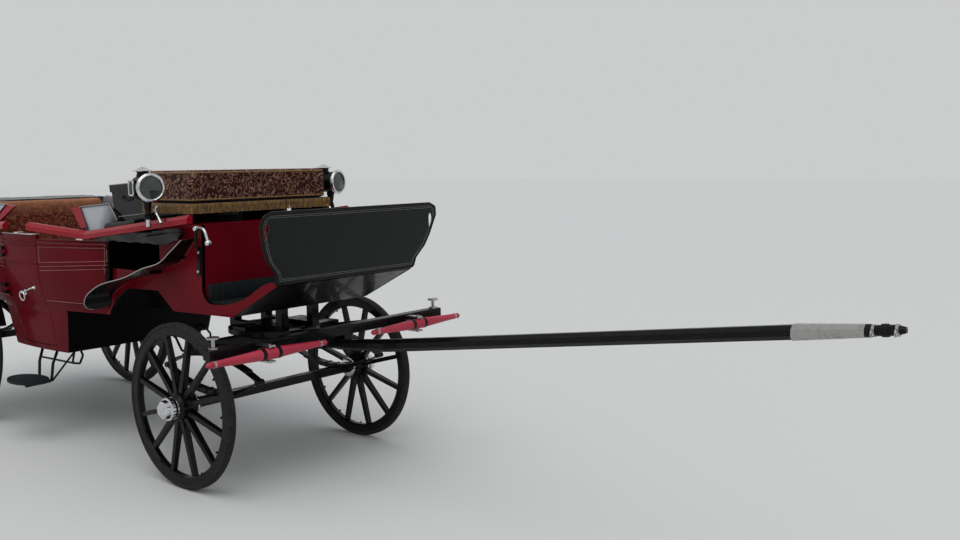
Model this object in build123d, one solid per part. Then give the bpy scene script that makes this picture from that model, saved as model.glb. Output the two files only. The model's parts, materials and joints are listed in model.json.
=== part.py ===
"""Horse-drawn landau: a four-wheeled pair-horse carriage with both halves of its leather head folded.

Millimetres. +X is forward along the pole, +Y is the carriage's left and +Z is up. The ground is z = 0.
Stations along X are first measured from the rear axle, and write() then moves every piece so that the
origin lies on the ground at the middle of the carriage's overall length.
"""
from build123d import *
import math
import os

os.makedirs("parts", exist_ok=True)

# Running gear
WHEELBASE = 2555.0
TRACK = 1260.0
FRONT_WHEEL_RADIUS = 440.0
REAR_WHEEL_RADIUS = 530.0
FRONT_SPOKES = 12
REAR_SPOKES = 14
TYRE_WIDTH = 50.0
TYRE_DEPTH = 24.0
FELLOE_WIDTH = 42.0
FELLOE_DEPTH = 46.0
SPOKE_WIDTH = 30.0
SPOKE_THICKNESS = 36.0
HUB_RADIUS = 74.0
HUB_LENGTH = 150.0
HUB_END_RADIUS = 56.0
CAP_RADIUS = 60.0
CAP_LENGTH = 46.0
SPINDLE_RADIUS = 20.0
SPINDLE_CLEARANCE = 0.05
AXLE_SECTION = 46.0
SPRING_TRACK = 860.0
SPRING_LENGTH = 800.0
LEAF_WIDTH = 44.0
LEAF_THICKNESS = 7.0
LEAF_COUNT = 4
CLIP_SPACING = 30.0
CLIP_WIDTH = 12.0

# Body: plan curve, turn-under and side outline
BODY_MIDDLE = 865.0
BELT_HALF_WIDTH = 620.0
PLAN_RADIUS = 3000.0
TURN_START = 1080.0
TURN_BREAK = 800.0
TURN_BREAK_HALF_WIDTH = 560.0
SILL_HALF_WIDTH = 530.0
WALL = 25.0
BELT_TOP = 1262.0
BODY_HALF_LENGTH = 840.0
BODY_END_LOW = 774.0
QUARTER_BOTTOM = 824.0
WELL_TOP_HALF = 398.0
WELL_LOW_HALF = 330.0
WELL_BOTTOM = 550.0
DOOR_HALF_WIDTH = 215.0
DOOR_GAP = 5.0
DOOR_TOP = 1286.0
RABBET = 9.0
BEAD_RADIUS = 6.0
HINGE_STAND_OFF = 12.0
HINGE_RADIUS = 9.0
HINGE_PIN_RADIUS = 4.0
HINGE_LENGTH = 66.0

# Boot, box seat and dash
BOOT_HALF_WIDTH = 478.0
BOOT_PANEL = 22.0
BOOT_BOTTOM = 908.0
BOOT_FLOOR = 965.0
FLOOR_REAR = 2290.0
FLOOR_FRONT = 2790.0
NECK_BOTTOM = 1004.0
NECK_TOP = 1104.0
SEAT_BOX_REAR = 2205.0
SEAT_BOX_FRONT = 2580.0
BOX_WALL = 18.0
PILLAR_REAR = 2190.0
PILLAR_FRONT = 2585.0
PILLAR_TOP = 1380.0
SEAT_BOARD = 22.0
SEAT_BOARD_BOTTOM = 1470.0
SEAT_REAR = 2065.0
SEAT_FRONT = 2515.0
BOX_CUSHION_THICKNESS = 172.0
TOE_LOW = (2812.0, 910.0)
TOE_TIP = (3180.0, 1093.0)
TOE_THICKNESS = 26.0
TOE_RISE = 34.0
DASH_LEAN = 75.0
DASH_BOTTOM = 1112.0
DASH_TOP = 1480.0
DASH_FOOT_HALF = 490.0
DASH_TOP_HALF = 622.0
DASH_LEATHER = 10.0
DASH_IRON = 8.0

# Fore-carriage
BED_BOTTOM = 700.0
BED_HEIGHT = 55.0
RING_RADIUS = 255.0
RING_WIDTH = 50.0
RING_THICKNESS = 14.0
RING_CLEARANCE = 0.3
KING_PIN_RADIUS = 18.0
FUTCHELL_WIDTH = 48.0
POLE_ROOT_WIDTH = 70.0
POLE_ROOT_HEIGHT = 52.0
SPLINTER_X = 3070.0
SPLINTER_BOTTOM = 772.0
SPLINTER_HEIGHT = 50.0
SPLINTER_DEPTH = 54.0
SPLINTER_HALF_LENGTH = 820.0
ROLLER_Y = SPLINTER_HALF_LENGTH - 40.0
ROLLER_RADIUS = 9.0
ROLLER_HEIGHT = 40.0
SWINGLETREE_X = 3174.0
SWINGLETREE_Y = 530.0
SWINGLETREE_Z = 772.0
SWINGLETREE_HALF_LENGTH = 365.0
SWINGLETREE_RADIUS = 29.0
SWINGLETREE_END_RADIUS = 16.0
SWINGLETREE_BOLT_RADIUS = 8.0
POLE_TIP_X = 5960.0
POLE_TIP_Z = 1080.0
POLE_END_RADIUS = 20.0
POLE_COLLAR_RADIUS = 24.0
POLE_END_LENGTH = 90.0
POLE_HEAD_LENGTH = 140.0
POLE_RISE_X = 3450.0

# Folded head
RAIL_HEIGHT = 46.0
RAIL_WIDTH = 36.0
RAIL_BEVEL = 20.0
RAIL_TIP = (1015.0, 606.0, 1362.0)
RAIL_VERTEX = (1565.0, 538.0, 1320.0)
RAIL_END = (2600.0, 538.0, 1437.0)
HOOD_HALF_WIDTH = 538.0
BUNDLE_LENGTH = 345.0
LOCKER_HALF_WIDTH = 455.0
PILLAR_WIDTH = 84.0
PANEL_LEAN = 76.0
PANEL_THICKNESS = 16.0

# Fittings
LAMP_X = 2357.0
LAMP_Y = 640.0
LAMP_Z = 1577.0
LAMP_RADIUS = 64.0
LAMP_SOCKET_Z = 1433.0
LAMP_TURN = 12.0
LAMP_SOCKET_DEPTH = 22.0
LAMP_FERRULE_RADIUS = 13.0
LAMP_FERRULE_LENGTH = 64.0
LAMP_LENGTH = 140.0
LAMP_BEZEL_RADIUS = 76.0
LAMP_LENS_RADIUS = 60.0
STEP_PAD_Z = 366.0
STEP_PAD_X = 935.0
STEP_PAD_Y = 650.0
STEP_PAD_HALF_X = 175.0
STEP_PAD_HALF_Y = 105.0
STEP_IRON_RADIUS = 9.0
BRAKE_KNOB_RADIUS = 17.0
FENDER_THICKNESS = 6.0
FENDER_INNER = 486.0
FENDER_LINE = ((-879.0, 52.0), (-863.0, 120.0), (-787.0, 172.0), (-665.0, 218.0), (-445.0, 266.0), (-275.0, 322.0),
               (-165.0, 356.0), (-93.0, 416.0), (-23.0, 480.0))
FENDER_OUTER = 655.0
REAR_FENDER_INNER = 598.0
REAR_FENDER_OUTER = 735.0

FRONT_AXLE = (WHEELBASE, 0.0, FRONT_WHEEL_RADIUS)
REAR_AXLE = (0.0, 0.0, REAR_WHEEL_RADIUS)
REAR_END = 2 * BODY_MIDDLE - RAIL_END[0]
ORIGIN_X = (REAR_END + POLE_TIP_X) / 2


def section(points, radii=0):
    """Return a face from outline points in its own plane, with its corners rounded if radii is given."""
    face = make_face(Polyline(*points, close=True))
    if radii:
        face = fillet(face.vertices(), radii)
    return face


def plate(points, y_low, y_high, radii=0):
    """Return the prism of a side outline, given as (x, z) points, from y_low to y_high."""
    plane = Plane(origin=(0, y_low, 0), x_dir=(1, 0, 0), z_dir=(0, -1, 0))
    return extrude(plane * section(points, radii), amount=-(y_high - y_low))


def across(points, x_low, x_high, radii=0):
    """Return the prism of a cross outline, given as (y, z) points, from x_low to x_high."""
    plane = Plane(origin=(x_low, 0, 0), x_dir=(0, 1, 0), z_dir=(1, 0, 0))
    return extrude(plane * section(points, radii), amount=x_high - x_low)


def block(x_low, x_high, y_low, y_high, z_low, z_high):
    """Return a box between the given limits."""
    centre = ((x_low + x_high) / 2, (y_low + y_high) / 2, (z_low + z_high) / 2)
    return Pos(*centre) * Box(x_high - x_low, y_high - y_low, z_high - z_low)


def rod(start, end, radius):
    """Return a round rod from one point to another."""
    start = Vector(*start)
    axis = Vector(*end) - start
    plane = Plane(origin=start, z_dir=axis)
    return extrude(plane * Circle(radius), amount=axis.length)


def bent_rod(points, radius, bend):
    """Return a round rod along a path with bends of one radius."""
    path = FilletPolyline(*points, radius=bend)
    return sweep(Plane(origin=path @ 0, z_dir=path % 0) * Circle(radius), path=path)


def turned(profile, centre, side=1):
    """Return a solid of revolution about an axle: profile holds (distance outboard, radius) pairs."""
    face = make_face(Polyline(*[(radius, side * y, 0) for y, radius in profile], close=True))
    return Pos(*centre) * revolve(face, axis=Axis.Y)


def mirrored(piece):
    """Return the same piece on the carriage's other side."""
    return mirror(piece, about=Plane.XZ)


def both(piece):
    """Return a piece together with its mirror image."""
    return [piece, mirrored(piece)]


def merge(pieces):
    """Return the union of a list of pieces."""
    whole = pieces[0]
    for piece in pieces[1:]:
        whole = whole + piece
    return whole


def write(name, pieces):
    """Write one node, moved so that the carriage's middle is at the origin."""
    if not isinstance(pieces, list):
        pieces = [pieces]
    solids = [Pos(-ORIGIN_X, 0, 0) * solid for piece in pieces for solid in piece.solids()]
    export_step(Compound(children=solids) if len(solids) > 1 else solids[0], f"parts/{name}.step")


def half_width(z):
    """Return the body's half width at the doors' middle, at height z."""
    if z >= TURN_START:
        return BELT_HALF_WIDTH
    drop = BELT_HALF_WIDTH - TURN_BREAK_HALF_WIDTH
    fall = TURN_START - TURN_BREAK
    radius = (drop * drop + fall * fall) / (2 * drop)
    if z >= TURN_BREAK:
        return BELT_HALF_WIDTH - radius + math.sqrt(radius * radius - (TURN_START - z) ** 2)
    share = (TURN_BREAK - z) / (TURN_BREAK - WELL_BOTTOM)
    return TURN_BREAK_HALF_WIDTH + (SILL_HALF_WIDTH - TURN_BREAK_HALF_WIDTH) * share


def plan_width(x, z):
    """Return the body's half width at station x and height z."""
    sagitta = PLAN_RADIUS - math.sqrt(PLAN_RADIUS ** 2 - (x - BODY_MIDDLE) ** 2)
    return half_width(z) - sagitta


def body_outline(inset):
    """Return half of the body's side outline as (x, z), from the belt down to the well's middle."""
    return [
        (BODY_HALF_LENGTH - inset, BELT_TOP),
        (BODY_HALF_LENGTH - inset, TURN_START),
        (BODY_END_LOW - inset, QUARTER_BOTTOM + inset),
        (WELL_TOP_HALF - inset, QUARTER_BOTTOM + inset),
        (WELL_LOW_HALF - inset, WELL_BOTTOM + inset),
    ]


def body_form(inset, top):
    """Return the body's closed form, shrunk by inset, with its top at the given height."""
    reach = PLAN_RADIUS - BELT_HALF_WIDTH
    low = WELL_BOTTOM - 20
    edge = [(reach + half_width(z) - inset, z) for z in (low, TURN_BREAK, TURN_START, top)]
    outer = Line(edge[0], edge[1]) + TangentArc(edge[2], edge[1], tangent=(0, -1)) + Line(edge[2], edge[3])
    rest = Polyline(edge[3], (0, top), (0, low), edge[0])
    disc = revolve(Plane.XZ * make_face(outer + rest), axis=Axis.Z)
    right = Pos(BODY_MIDDLE, reach, 0) * disc
    half = body_outline(inset)
    half[0] = (half[0][0], top)
    points = [(BODY_MIDDLE + x, z) for x, z in half] + [(BODY_MIDDLE - x, z) for x, z in reversed(half)]
    return (right & mirrored(right)) & plate(points, -BELT_HALF_WIDTH, BELT_HALF_WIDTH)


def beads(levels, x_low, x_high):
    """Return the right side's raised mouldings at the given heights, between two stations."""
    reach = PLAN_RADIUS - BELT_HALF_WIDTH
    rings = []
    for z in levels:
        ring = revolve(Plane.XZ * (Pos(reach + half_width(z), z) * Circle(BEAD_RADIUS)), axis=Axis.Z)
        rings.append(Pos(BODY_MIDDLE, reach, 0) * ring)
    clip = block(x_low, x_high, -BELT_HALF_WIDTH - 50, 0, WELL_BOTTOM, BELT_TOP + 50)
    return [ring & clip for ring in rings]


UPPER_BEADS = (1248.0, 1222.0, 1110.0)
LOWER_BEAD = 880.0
HINGE_X = BODY_MIDDLE - DOOR_HALF_WIDTH
HINGE_Y = -(plan_width(HINGE_X, BELT_TOP) + HINGE_STAND_OFF)
HINGE_LEVELS = (1168.0, 930.0)


def body():
    """Write the coachwork: the hollow body with its door openings, and the two doors."""
    outer = body_form(0, BELT_TOP)
    inner = body_form(WALL, BELT_TOP + 100)
    shell = outer - inner
    opening = block(HINGE_X, BODY_MIDDLE + DOOR_HALF_WIDTH, -BELT_HALF_WIDTH - 60, -SILL_HALF_WIDTH + 90,
                    WELL_BOTTOM + WALL + 8, BELT_TOP + 60)
    shell = shell - opening - mirrored(opening)
    front_quarter = beads(UPPER_BEADS, BODY_MIDDLE + DOOR_HALF_WIDTH + 4, BODY_MIDDLE + BODY_HALF_LENGTH - 8)
    front_quarter += beads([LOWER_BEAD], BODY_MIDDLE + DOOR_HALF_WIDTH + 4, BODY_MIDDLE + BODY_END_LOW + 6)
    for bead in front_quarter:
        rear = mirror(bead, about=Plane.YZ.offset(BODY_MIDDLE))
        shell = shell + bead + mirrored(bead) + rear + mirrored(rear)
    knuckles = []
    for z in HINGE_LEVELS:
        for end in (-1, 1):
            knuckles.append(hinge_leaf(z + end * HINGE_LENGTH / 3, HINGE_LENGTH / 3 - 0.6, -1))
        knuckles.append(rod((HINGE_X, HINGE_Y, z - HINGE_LENGTH / 2), (HINGE_X, HINGE_Y, z + HINGE_LENGTH / 2),
                            HINGE_PIN_RADIUS))
    clear = body_form(0, BELT_TOP)
    hinge_irons = [merge(knuckles[0:3]) - clear, merge(knuckles[3:6]) - clear]
    write("body_shell", shell)
    write("door_hinge_irons", [piece for iron in hinge_irons for piece in both(iron)])
    door = door_panel(outer, inner)
    write("door_right", door)
    write("door_left", mirrored(door))
    handle = door_handle()
    write("door_handle_right", handle)
    write("door_handle_left", mirrored(handle))


def hinge_leaf(z, length, way):
    """Return one knuckle at height z with its strap to the coachwork, forwards or backwards of the pin."""
    knuckle = Pos(HINGE_X, HINGE_Y, z) * Cylinder(HINGE_RADIUS, length)
    far = HINGE_X + way * 34
    strap_inner = -plan_width(HINGE_X, z) + 2
    strap = block(min(HINGE_X + way * 6, far), max(HINGE_X + way * 6, far), HINGE_Y - 3, strap_inner,
                  z - length / 2, z + length / 2)
    return (knuckle + strap) - Pos(HINGE_X, HINGE_Y, z) * Cylinder(HINGE_PIN_RADIUS + 0.06, length + 2)


def door_panel(outer, inner):
    """Return the right door: an outer skin, a narrower inner skin behind it and its mouldings."""
    middle = body_form(WALL / 2, BELT_TOP + 100)
    x_low = HINGE_X + DOOR_GAP
    x_high = BODY_MIDDLE + DOOR_HALF_WIDTH - DOOR_GAP
    z_low = WELL_BOTTOM + WALL + 8 + DOOR_GAP
    tall = body_form(0, DOOR_TOP)
    wide = block(x_low, x_high, -BELT_HALF_WIDTH - 60, 0, z_low, DOOR_TOP)
    narrow = block(x_low + RABBET, x_high - RABBET, -BELT_HALF_WIDTH - 60, 0, z_low, DOOR_TOP)
    door = ((tall - middle) & wide) + ((middle - inner) & narrow)
    for bead in beads(UPPER_BEADS, x_low + 4, x_high - 4):
        door = door + bead
    for z in HINGE_LEVELS:
        leaf = hinge_leaf(z, HINGE_LENGTH / 3 - 0.6, 1)
        door = door + (leaf - middle)
    return door


def door_handle():
    """Return the drop-ring handle on its rose, with the lever that works the lock at the front edge."""
    x = BODY_MIDDLE + DOOR_HALF_WIDTH - 62
    z = 945.0
    y = -plan_width(x, z)
    rose = Pos(x, y - 5, z) * Rot(90, 0, 0) * Cylinder(24, 16) - body_form(0, DOOR_TOP)
    boss = rod((x, y - 9, z), (x, y - 30, z), 8)
    ring = Pos(x, y - 23, z - 24) * Rot(90, 0, 0) * Torus(23, 4.5)
    lever = rod((x, y - 19, z), (x + 48, y - 19, z + 25), 4)
    return rose + boss + ring + lever


def seats():
    """Write the benches and the upholstery of both seats."""
    lining = body_form(WALL + 0.3, BELT_TOP)
    bench_top = 950.0
    bench = plate([(0, QUARTER_BOTTOM + WALL), (0, bench_top), (BODY_MIDDLE - 345, bench_top),
                   (BODY_MIDDLE - 345, bench_top - 20), (BODY_MIDDLE - 365, QUARTER_BOTTOM + WALL)],
                  -BELT_HALF_WIDTH, BELT_HALF_WIDTH)
    bench = (bench - block(-100, BODY_MIDDLE - 385, -460, 460, 0, bench_top - 20)) & body_form(WALL, BELT_TOP)
    cushion = block(140, BODY_MIDDLE - 340, -540, 540, bench_top + 0.3, bench_top + 100) & lining
    back_side = [(140 - 0.3, bench_top + 0.3), (52, bench_top + 0.3), (52, BELT_TOP), (-25, 1480), (75, 1480)]
    crest = [(505, bench_top), (505, BELT_TOP - 4), (476, BELT_TOP), (452, 1400), (400, 1480)]
    back = plate(back_side, -505, 505) & across(crest + [(-y, z) for y, z in reversed(crest)], -100, 300)
    back = back & (body_form(WALL + 0.3, BELT_TOP) + block(-100, 300, -505, 505, BELT_TOP, 1500))
    middle = Plane.YZ.offset(BODY_MIDDLE)
    front_back = back & block(-100, 300, -600, 600, bench_top, BELT_TOP + 78)
    write("benches", [bench, mirror(bench, about=middle)])
    write("seat_cushion_rear", cushion)
    write("seat_back_rear", back)
    write("seat_cushion_front", mirror(cushion, about=middle))
    write("seat_back_front", mirror(front_back, about=middle))


def boot():
    """Write the driver's boot: side panels over the wheel arch, floor, neck, seat box and toe board."""
    neck_rear = BODY_MIDDLE + BODY_END_LOW - 39
    arch = ThreePointArc((neck_rear + 39, QUARTER_BOTTOM), (neck_rear + 138, NECK_BOTTOM - 68),
                         (neck_rear + 271, NECK_BOTTOM - 6))
    under = Polyline(arch @ 1, (PILLAR_REAR - 36, NECK_BOTTOM), (PILLAR_REAR + 107, BOOT_BOTTOM - 8), TOE_LOW, TOE_TIP,
                     (TOE_TIP[0] - 36, TOE_TIP[1] + 20))
    scoop = Spline(under @ 1, (3081, 1096), (2926, 1015), (2783, 976), (2640, BOOT_FLOOR),
                   tangents=((-1, -0.2), (-1, 0)))
    heel = ThreePointArc(scoop @ 1, (PILLAR_FRONT + 2, BOOT_FLOOR + 24), (PILLAR_FRONT - 18, BOOT_FLOOR + 82))
    upper = Polyline(heel @ 1, (PILLAR_FRONT, PILLAR_TOP), (PILLAR_REAR, PILLAR_TOP), (PILLAR_REAR, NECK_TOP),
                     (neck_rear, NECK_TOP), (neck_rear, QUARTER_BOTTOM), arch @ 0)
    inner = BOOT_HALF_WIDTH - BOOT_PANEL
    plane = Plane(origin=(0, -BOOT_HALF_WIDTH, 0), x_dir=(1, 0, 0), z_dir=(0, -1, 0))
    panels = both(extrude(plane * make_face(arch + under + scoop + heel + upper), amount=-BOOT_PANEL))
    floor = plate([(FLOOR_REAR, BOOT_BOTTOM), (FLOOR_FRONT, BOOT_BOTTOM), (FLOOR_FRONT, BOOT_FLOOR),
                   (FLOOR_REAR - 45, BOOT_FLOOR)], -inner, inner)
    neck = block(neck_rear, PILLAR_REAR, -inner, inner, NECK_BOTTOM, NECK_BOTTOM + 26)
    shelf = NECK_BOTTOM + 26
    rear_wall = plate([(PILLAR_REAR - 30, NECK_BOTTOM), (FLOOR_REAR, BOOT_BOTTOM), (FLOOR_REAR, BOOT_FLOOR),
                       (SEAT_BOX_REAR - 1, shelf), (PILLAR_REAR - 30, shelf)],
                      -inner, inner)
    frame = merge(panels + [floor, neck, rear_wall]) - body_form(0, BELT_TOP)
    write("boot", frame)

    case = [(SEAT_BOX_REAR - 1, shelf), (FLOOR_REAR, BOOT_FLOOR), (SEAT_BOX_FRONT, BOOT_FLOOR), (SEAT_BOX_FRONT, PILLAR_TOP),
            (SEAT_BOX_REAR, PILLAR_TOP), (SEAT_BOX_REAR, shelf)]
    box = plate(case, -inner, inner)
    hollow = block(SEAT_BOX_REAR + BOX_WALL, SEAT_BOX_FRONT - BOX_WALL, -inner + BOX_WALL, inner - BOX_WALL,
                   shelf + BOX_WALL, PILLAR_TOP - BOX_WALL)
    write("seat_box", box - hollow)

    toe = [(FLOOR_FRONT, BOOT_BOTTOM), TOE_LOW, TOE_TIP, (TOE_TIP[0] - 11, TOE_TIP[1] + TOE_THICKNESS - 3),
           (FLOOR_FRONT + 10, BOOT_BOTTOM + TOE_RISE), (FLOOR_FRONT, BOOT_BOTTOM + TOE_RISE)]
    write("toe_board", plate(toe, -inner, inner) - floor)

    board = block(SEAT_REAR, SEAT_FRONT, -BOOT_HALF_WIDTH, BOOT_HALF_WIDTH, SEAT_BOARD_BOTTOM,
                  SEAT_BOARD_BOTTOM + SEAT_BOARD)
    trestles = [block(PILLAR_REAR + 10, PILLAR_FRONT - 90, y - 14, y + 14, PILLAR_TOP, SEAT_BOARD_BOTTOM)
                for y in (-BOOT_HALF_WIDTH + 14, -160, 160, BOOT_HALF_WIDTH - 14)]
    write("box_seat_frame", merge([board] + trestles))
    cushion_bottom = SEAT_BOARD_BOTTOM + SEAT_BOARD + 0.3
    cushion = block(SEAT_REAR, SEAT_FRONT, -BOOT_HALF_WIDTH, BOOT_HALF_WIDTH, cushion_bottom,
                    cushion_bottom + BOX_CUSHION_THICKNESS)
    write("box_cushion", fillet(cushion.edges().group_by(Axis.Z)[-1], 22))
    skirt_low = SEAT_BOARD_BOTTOM - 37
    skirt = block(SEAT_REAR - 10, SEAT_FRONT + 10, -BOOT_HALF_WIDTH - 10, BOOT_HALF_WIDTH + 10, skirt_low,
                  SEAT_BOARD_BOTTOM + SEAT_BOARD - 4)
    skirt = skirt - block(SEAT_REAR - 0.3, SEAT_FRONT + 0.3, -BOOT_HALF_WIDTH - 0.3, BOOT_HALF_WIDTH + 0.3,
                          skirt_low - 1, SEAT_BOARD_BOTTOM + SEAT_BOARD)
    write("seat_fall", skirt)


def dash():
    """Write the dash: patent leather stitched over a wrought-iron frame with a hand-hold at each end."""
    height = DASH_TOP - DASH_BOTTOM
    angle = math.degrees(math.atan2(DASH_LEAN, height))
    outline = [
        (DASH_FOOT_HALF, 0), (DASH_FOOT_HALF + 12, 60), (DASH_FOOT_HALF + 70, 125), (DASH_FOOT_HALF + 100, 190),
        (DASH_TOP_HALF, 300), (DASH_TOP_HALF - 14, 352), (DASH_TOP_HALF - 66, height + 6),
    ]
    whole = outline + [(-y, z) for y, z in reversed(outline)]
    hold = [(575, 228), (592, 226), (598, 250), (590, 300), (565, 318), (556, 300)]
    plane = Plane(origin=(TOE_TIP[0] + 2, 0, DASH_BOTTOM - 12), x_dir=(0, 1, 0), z_dir=(1, 0, 0)).rotated((0, angle, 0))
    face = section(whole)
    holes = section(hold, 6) + mirror(section(hold, 6), about=Plane.YZ)
    leather = extrude(plane * (offset(face, -DASH_IRON) - holes), amount=DASH_LEATHER)
    ring = offset(fillet(face.vertices(), 26), -DASH_IRON).edges()
    path = plane * Wire(ring)
    path = Pos(plane.z_dir * (DASH_LEATHER / 2)) * path
    iron = sweep(Plane(origin=path @ 0, z_dir=path % 0) * Circle(DASH_IRON), path=path, transition=Transition.ROUND)
    iron = iron - leather
    base = (TOE_TIP[0] + 2, DASH_BOTTOM - 12)
    slope = DASH_LEAN / height
    tread = (TOE_TIP[0] - 11, TOE_TIP[1] + TOE_THICKNESS - 3)
    rise = (tread[1] - BOOT_BOTTOM - TOE_RISE) / (tread[0] - FLOOR_FRONT - 10)
    leg = [(tread[0] - 80, tread[1] - 80 * rise), tread, (base[0] + 1, base[1] + 2), (base[0] + 6, base[1] + 9),
           (base[0] + 130 * slope, base[1] + 130), (base[0] + 130 * slope - 8, base[1] + 130),
           (base[0] - 2, tread[1] + 18), (tread[0] - 6, tread[1] + 8), (tread[0] - 80, tread[1] - 80 * rise + 8)]
    legs = [plate(leg, y - 15, y + 15) - leather for y in (-330, 0, 330)]
    write("dash_leather", leather)
    write("dash_iron", merge([iron] + legs))


def folded_head():
    """Write both folded halves of the head: leather, painted rails and the irons that carry them."""
    middle = Plane.YZ.offset(BODY_MIDDLE)
    low = BELT_TOP + 0.3
    end = BODY_MIDDLE + BODY_HALF_LENGTH
    vertex_x, _, vertex_z = RAIL_VERTEX
    tip_x, _, tip_z = RAIL_END
    bundle = plate([(end + 11, low), (end + BUNDLE_LENGTH, low), (end + BUNDLE_LENGTH, BELT_TOP + 142),
                    (end + 15, BELT_TOP + 110)], -HOOD_HALF_WIDTH, HOOD_HALF_WIDTH)
    fold = plate([(vertex_x + 15, low), (tip_x - 270, low), (tip_x - 145, low + 28), (tip_x - 110, low + 78),
                  (tip_x - 145, tip_z - 65), (vertex_x + 15, vertex_z - RAIL_HEIGHT)], -HOOD_HALF_WIDTH, -508)
    outline = [(vertex_x - 161, vertex_z + 11), (vertex_x - 45, vertex_z - 44), (vertex_x + 225, vertex_z - 20),
               (vertex_x + 225, vertex_z + 68), (vertex_x + 99, vertex_z + 159), (vertex_x - 339, vertex_z + 126)]
    foot = -HOOD_HALF_WIDTH + 22
    head = foot + PANEL_LEAN
    lean = across([(foot, vertex_z - 44), (foot + PANEL_THICKNESS, vertex_z - 44),
                   (head + PANEL_THICKNESS, vertex_z + 180), (head, vertex_z + 180)], vertex_x - 365, vertex_x + 235)
    panel = plate(outline, -HOOD_HALF_WIDTH, -400) & lean
    cut = plate([outline[0], (outline[0][0] + PILLAR_WIDTH, outline[0][1]),
                 (outline[5][0] + PILLAR_WIDTH, vertex_z + 160), (outline[5][0] - 26, vertex_z + 160),
                 (outline[5][0] - 26, outline[0][1])], -HOOD_HALF_WIDTH, -400)
    pillar = panel & cut
    flap = panel - cut
    front = merge([bundle, fold, mirrored(fold), flap, mirrored(flap)])
    write("head_leather_front", front)
    rail = merge([rail_run(RAIL_TIP, RAIL_VERTEX), rail_run(RAIL_VERTEX, RAIL_END)])
    write("head_rails_front", both(rail) + both(pillar))
    write("head_rails_rear", both(mirror(rail, about=middle)) + both(mirror(pillar, about=middle)))
    tail = plate([(end + 335, low + 30), (tip_x - 60, low + 68), (tip_x - 40, low + 138), (tip_x - 100, low + 158),
                  (end + 335, BELT_TOP + 142)], -HOOD_HALF_WIDTH, HOOD_HALF_WIDTH)
    crown = plate([(end + 55, BELT_TOP + 110), (tip_x - 80, BELT_TOP + 153), (tip_x - 100, BELT_TOP + 208),
                   (end + 395, BELT_TOP + 224), (end + 55, BELT_TOP + 216)], -HOOD_HALF_WIDTH + 14,
                  HOOD_HALF_WIDTH - 14)
    rear = mirror(merge([bundle, fold, mirrored(fold), flap, mirrored(flap), tail, crown]), about=middle)
    write("head_leather_rear", rear)
    write("locker", locker_case(end, 0, 1, 0) + locker_case(end, 0, 0.12, 7) + locker_case(end, 0.8, 1, 7) - front)


def locker_case(end, low, high, proud):
    """Return the locker's case between two shares of its height, standing proud of its sides."""
    rear = [(end + 15 - 28 * share, BELT_TOP + 110 + 214 * share) for share in (low, high)]
    front = [(end + BUNDLE_LENGTH - 20 * share, BELT_TOP + 142 + 202 * share) for share in (low, high)]
    points = [(rear[0][0] - proud, rear[0][1]), (front[0][0] + proud, front[0][1]),
              (front[1][0] + proud, front[1][1]), (rear[1][0] - proud, rear[1][1])]
    return plate(points, -LOCKER_HALF_WIDTH - proud, LOCKER_HALF_WIDTH + proud)


def rail_run(start, end):
    """Return a rail of the right side, bevelled above, between two points of its inner top edge."""
    faces = []
    for x, y, z in (start, end):
        outer = -y - RAIL_WIDTH
        corners = [(-y, z), (-y, z - RAIL_HEIGHT), (outer, z - RAIL_HEIGHT), (outer, z - RAIL_BEVEL),
                   (outer + RAIL_BEVEL, z)]
        faces.append(Plane(origin=(x, 0, 0), x_dir=(0, 1, 0), z_dir=(1, 0, 0)) * section(corners))
    return loft(faces, ruled=True)


def fender_strip(line, thickness, y_low, y_high):
    """Return a bent strip along a side line given as (x, z) points."""
    path = FilletPolyline(*line, radius=26)
    above = offset(path, amount=thickness / 2, side=Side.BOTH)
    plane = Plane(origin=(0, y_low, 0), x_dir=(1, 0, 0), z_dir=(0, -1, 0))
    return extrude(plane * make_face(above), amount=-(y_high - y_low))


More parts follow.
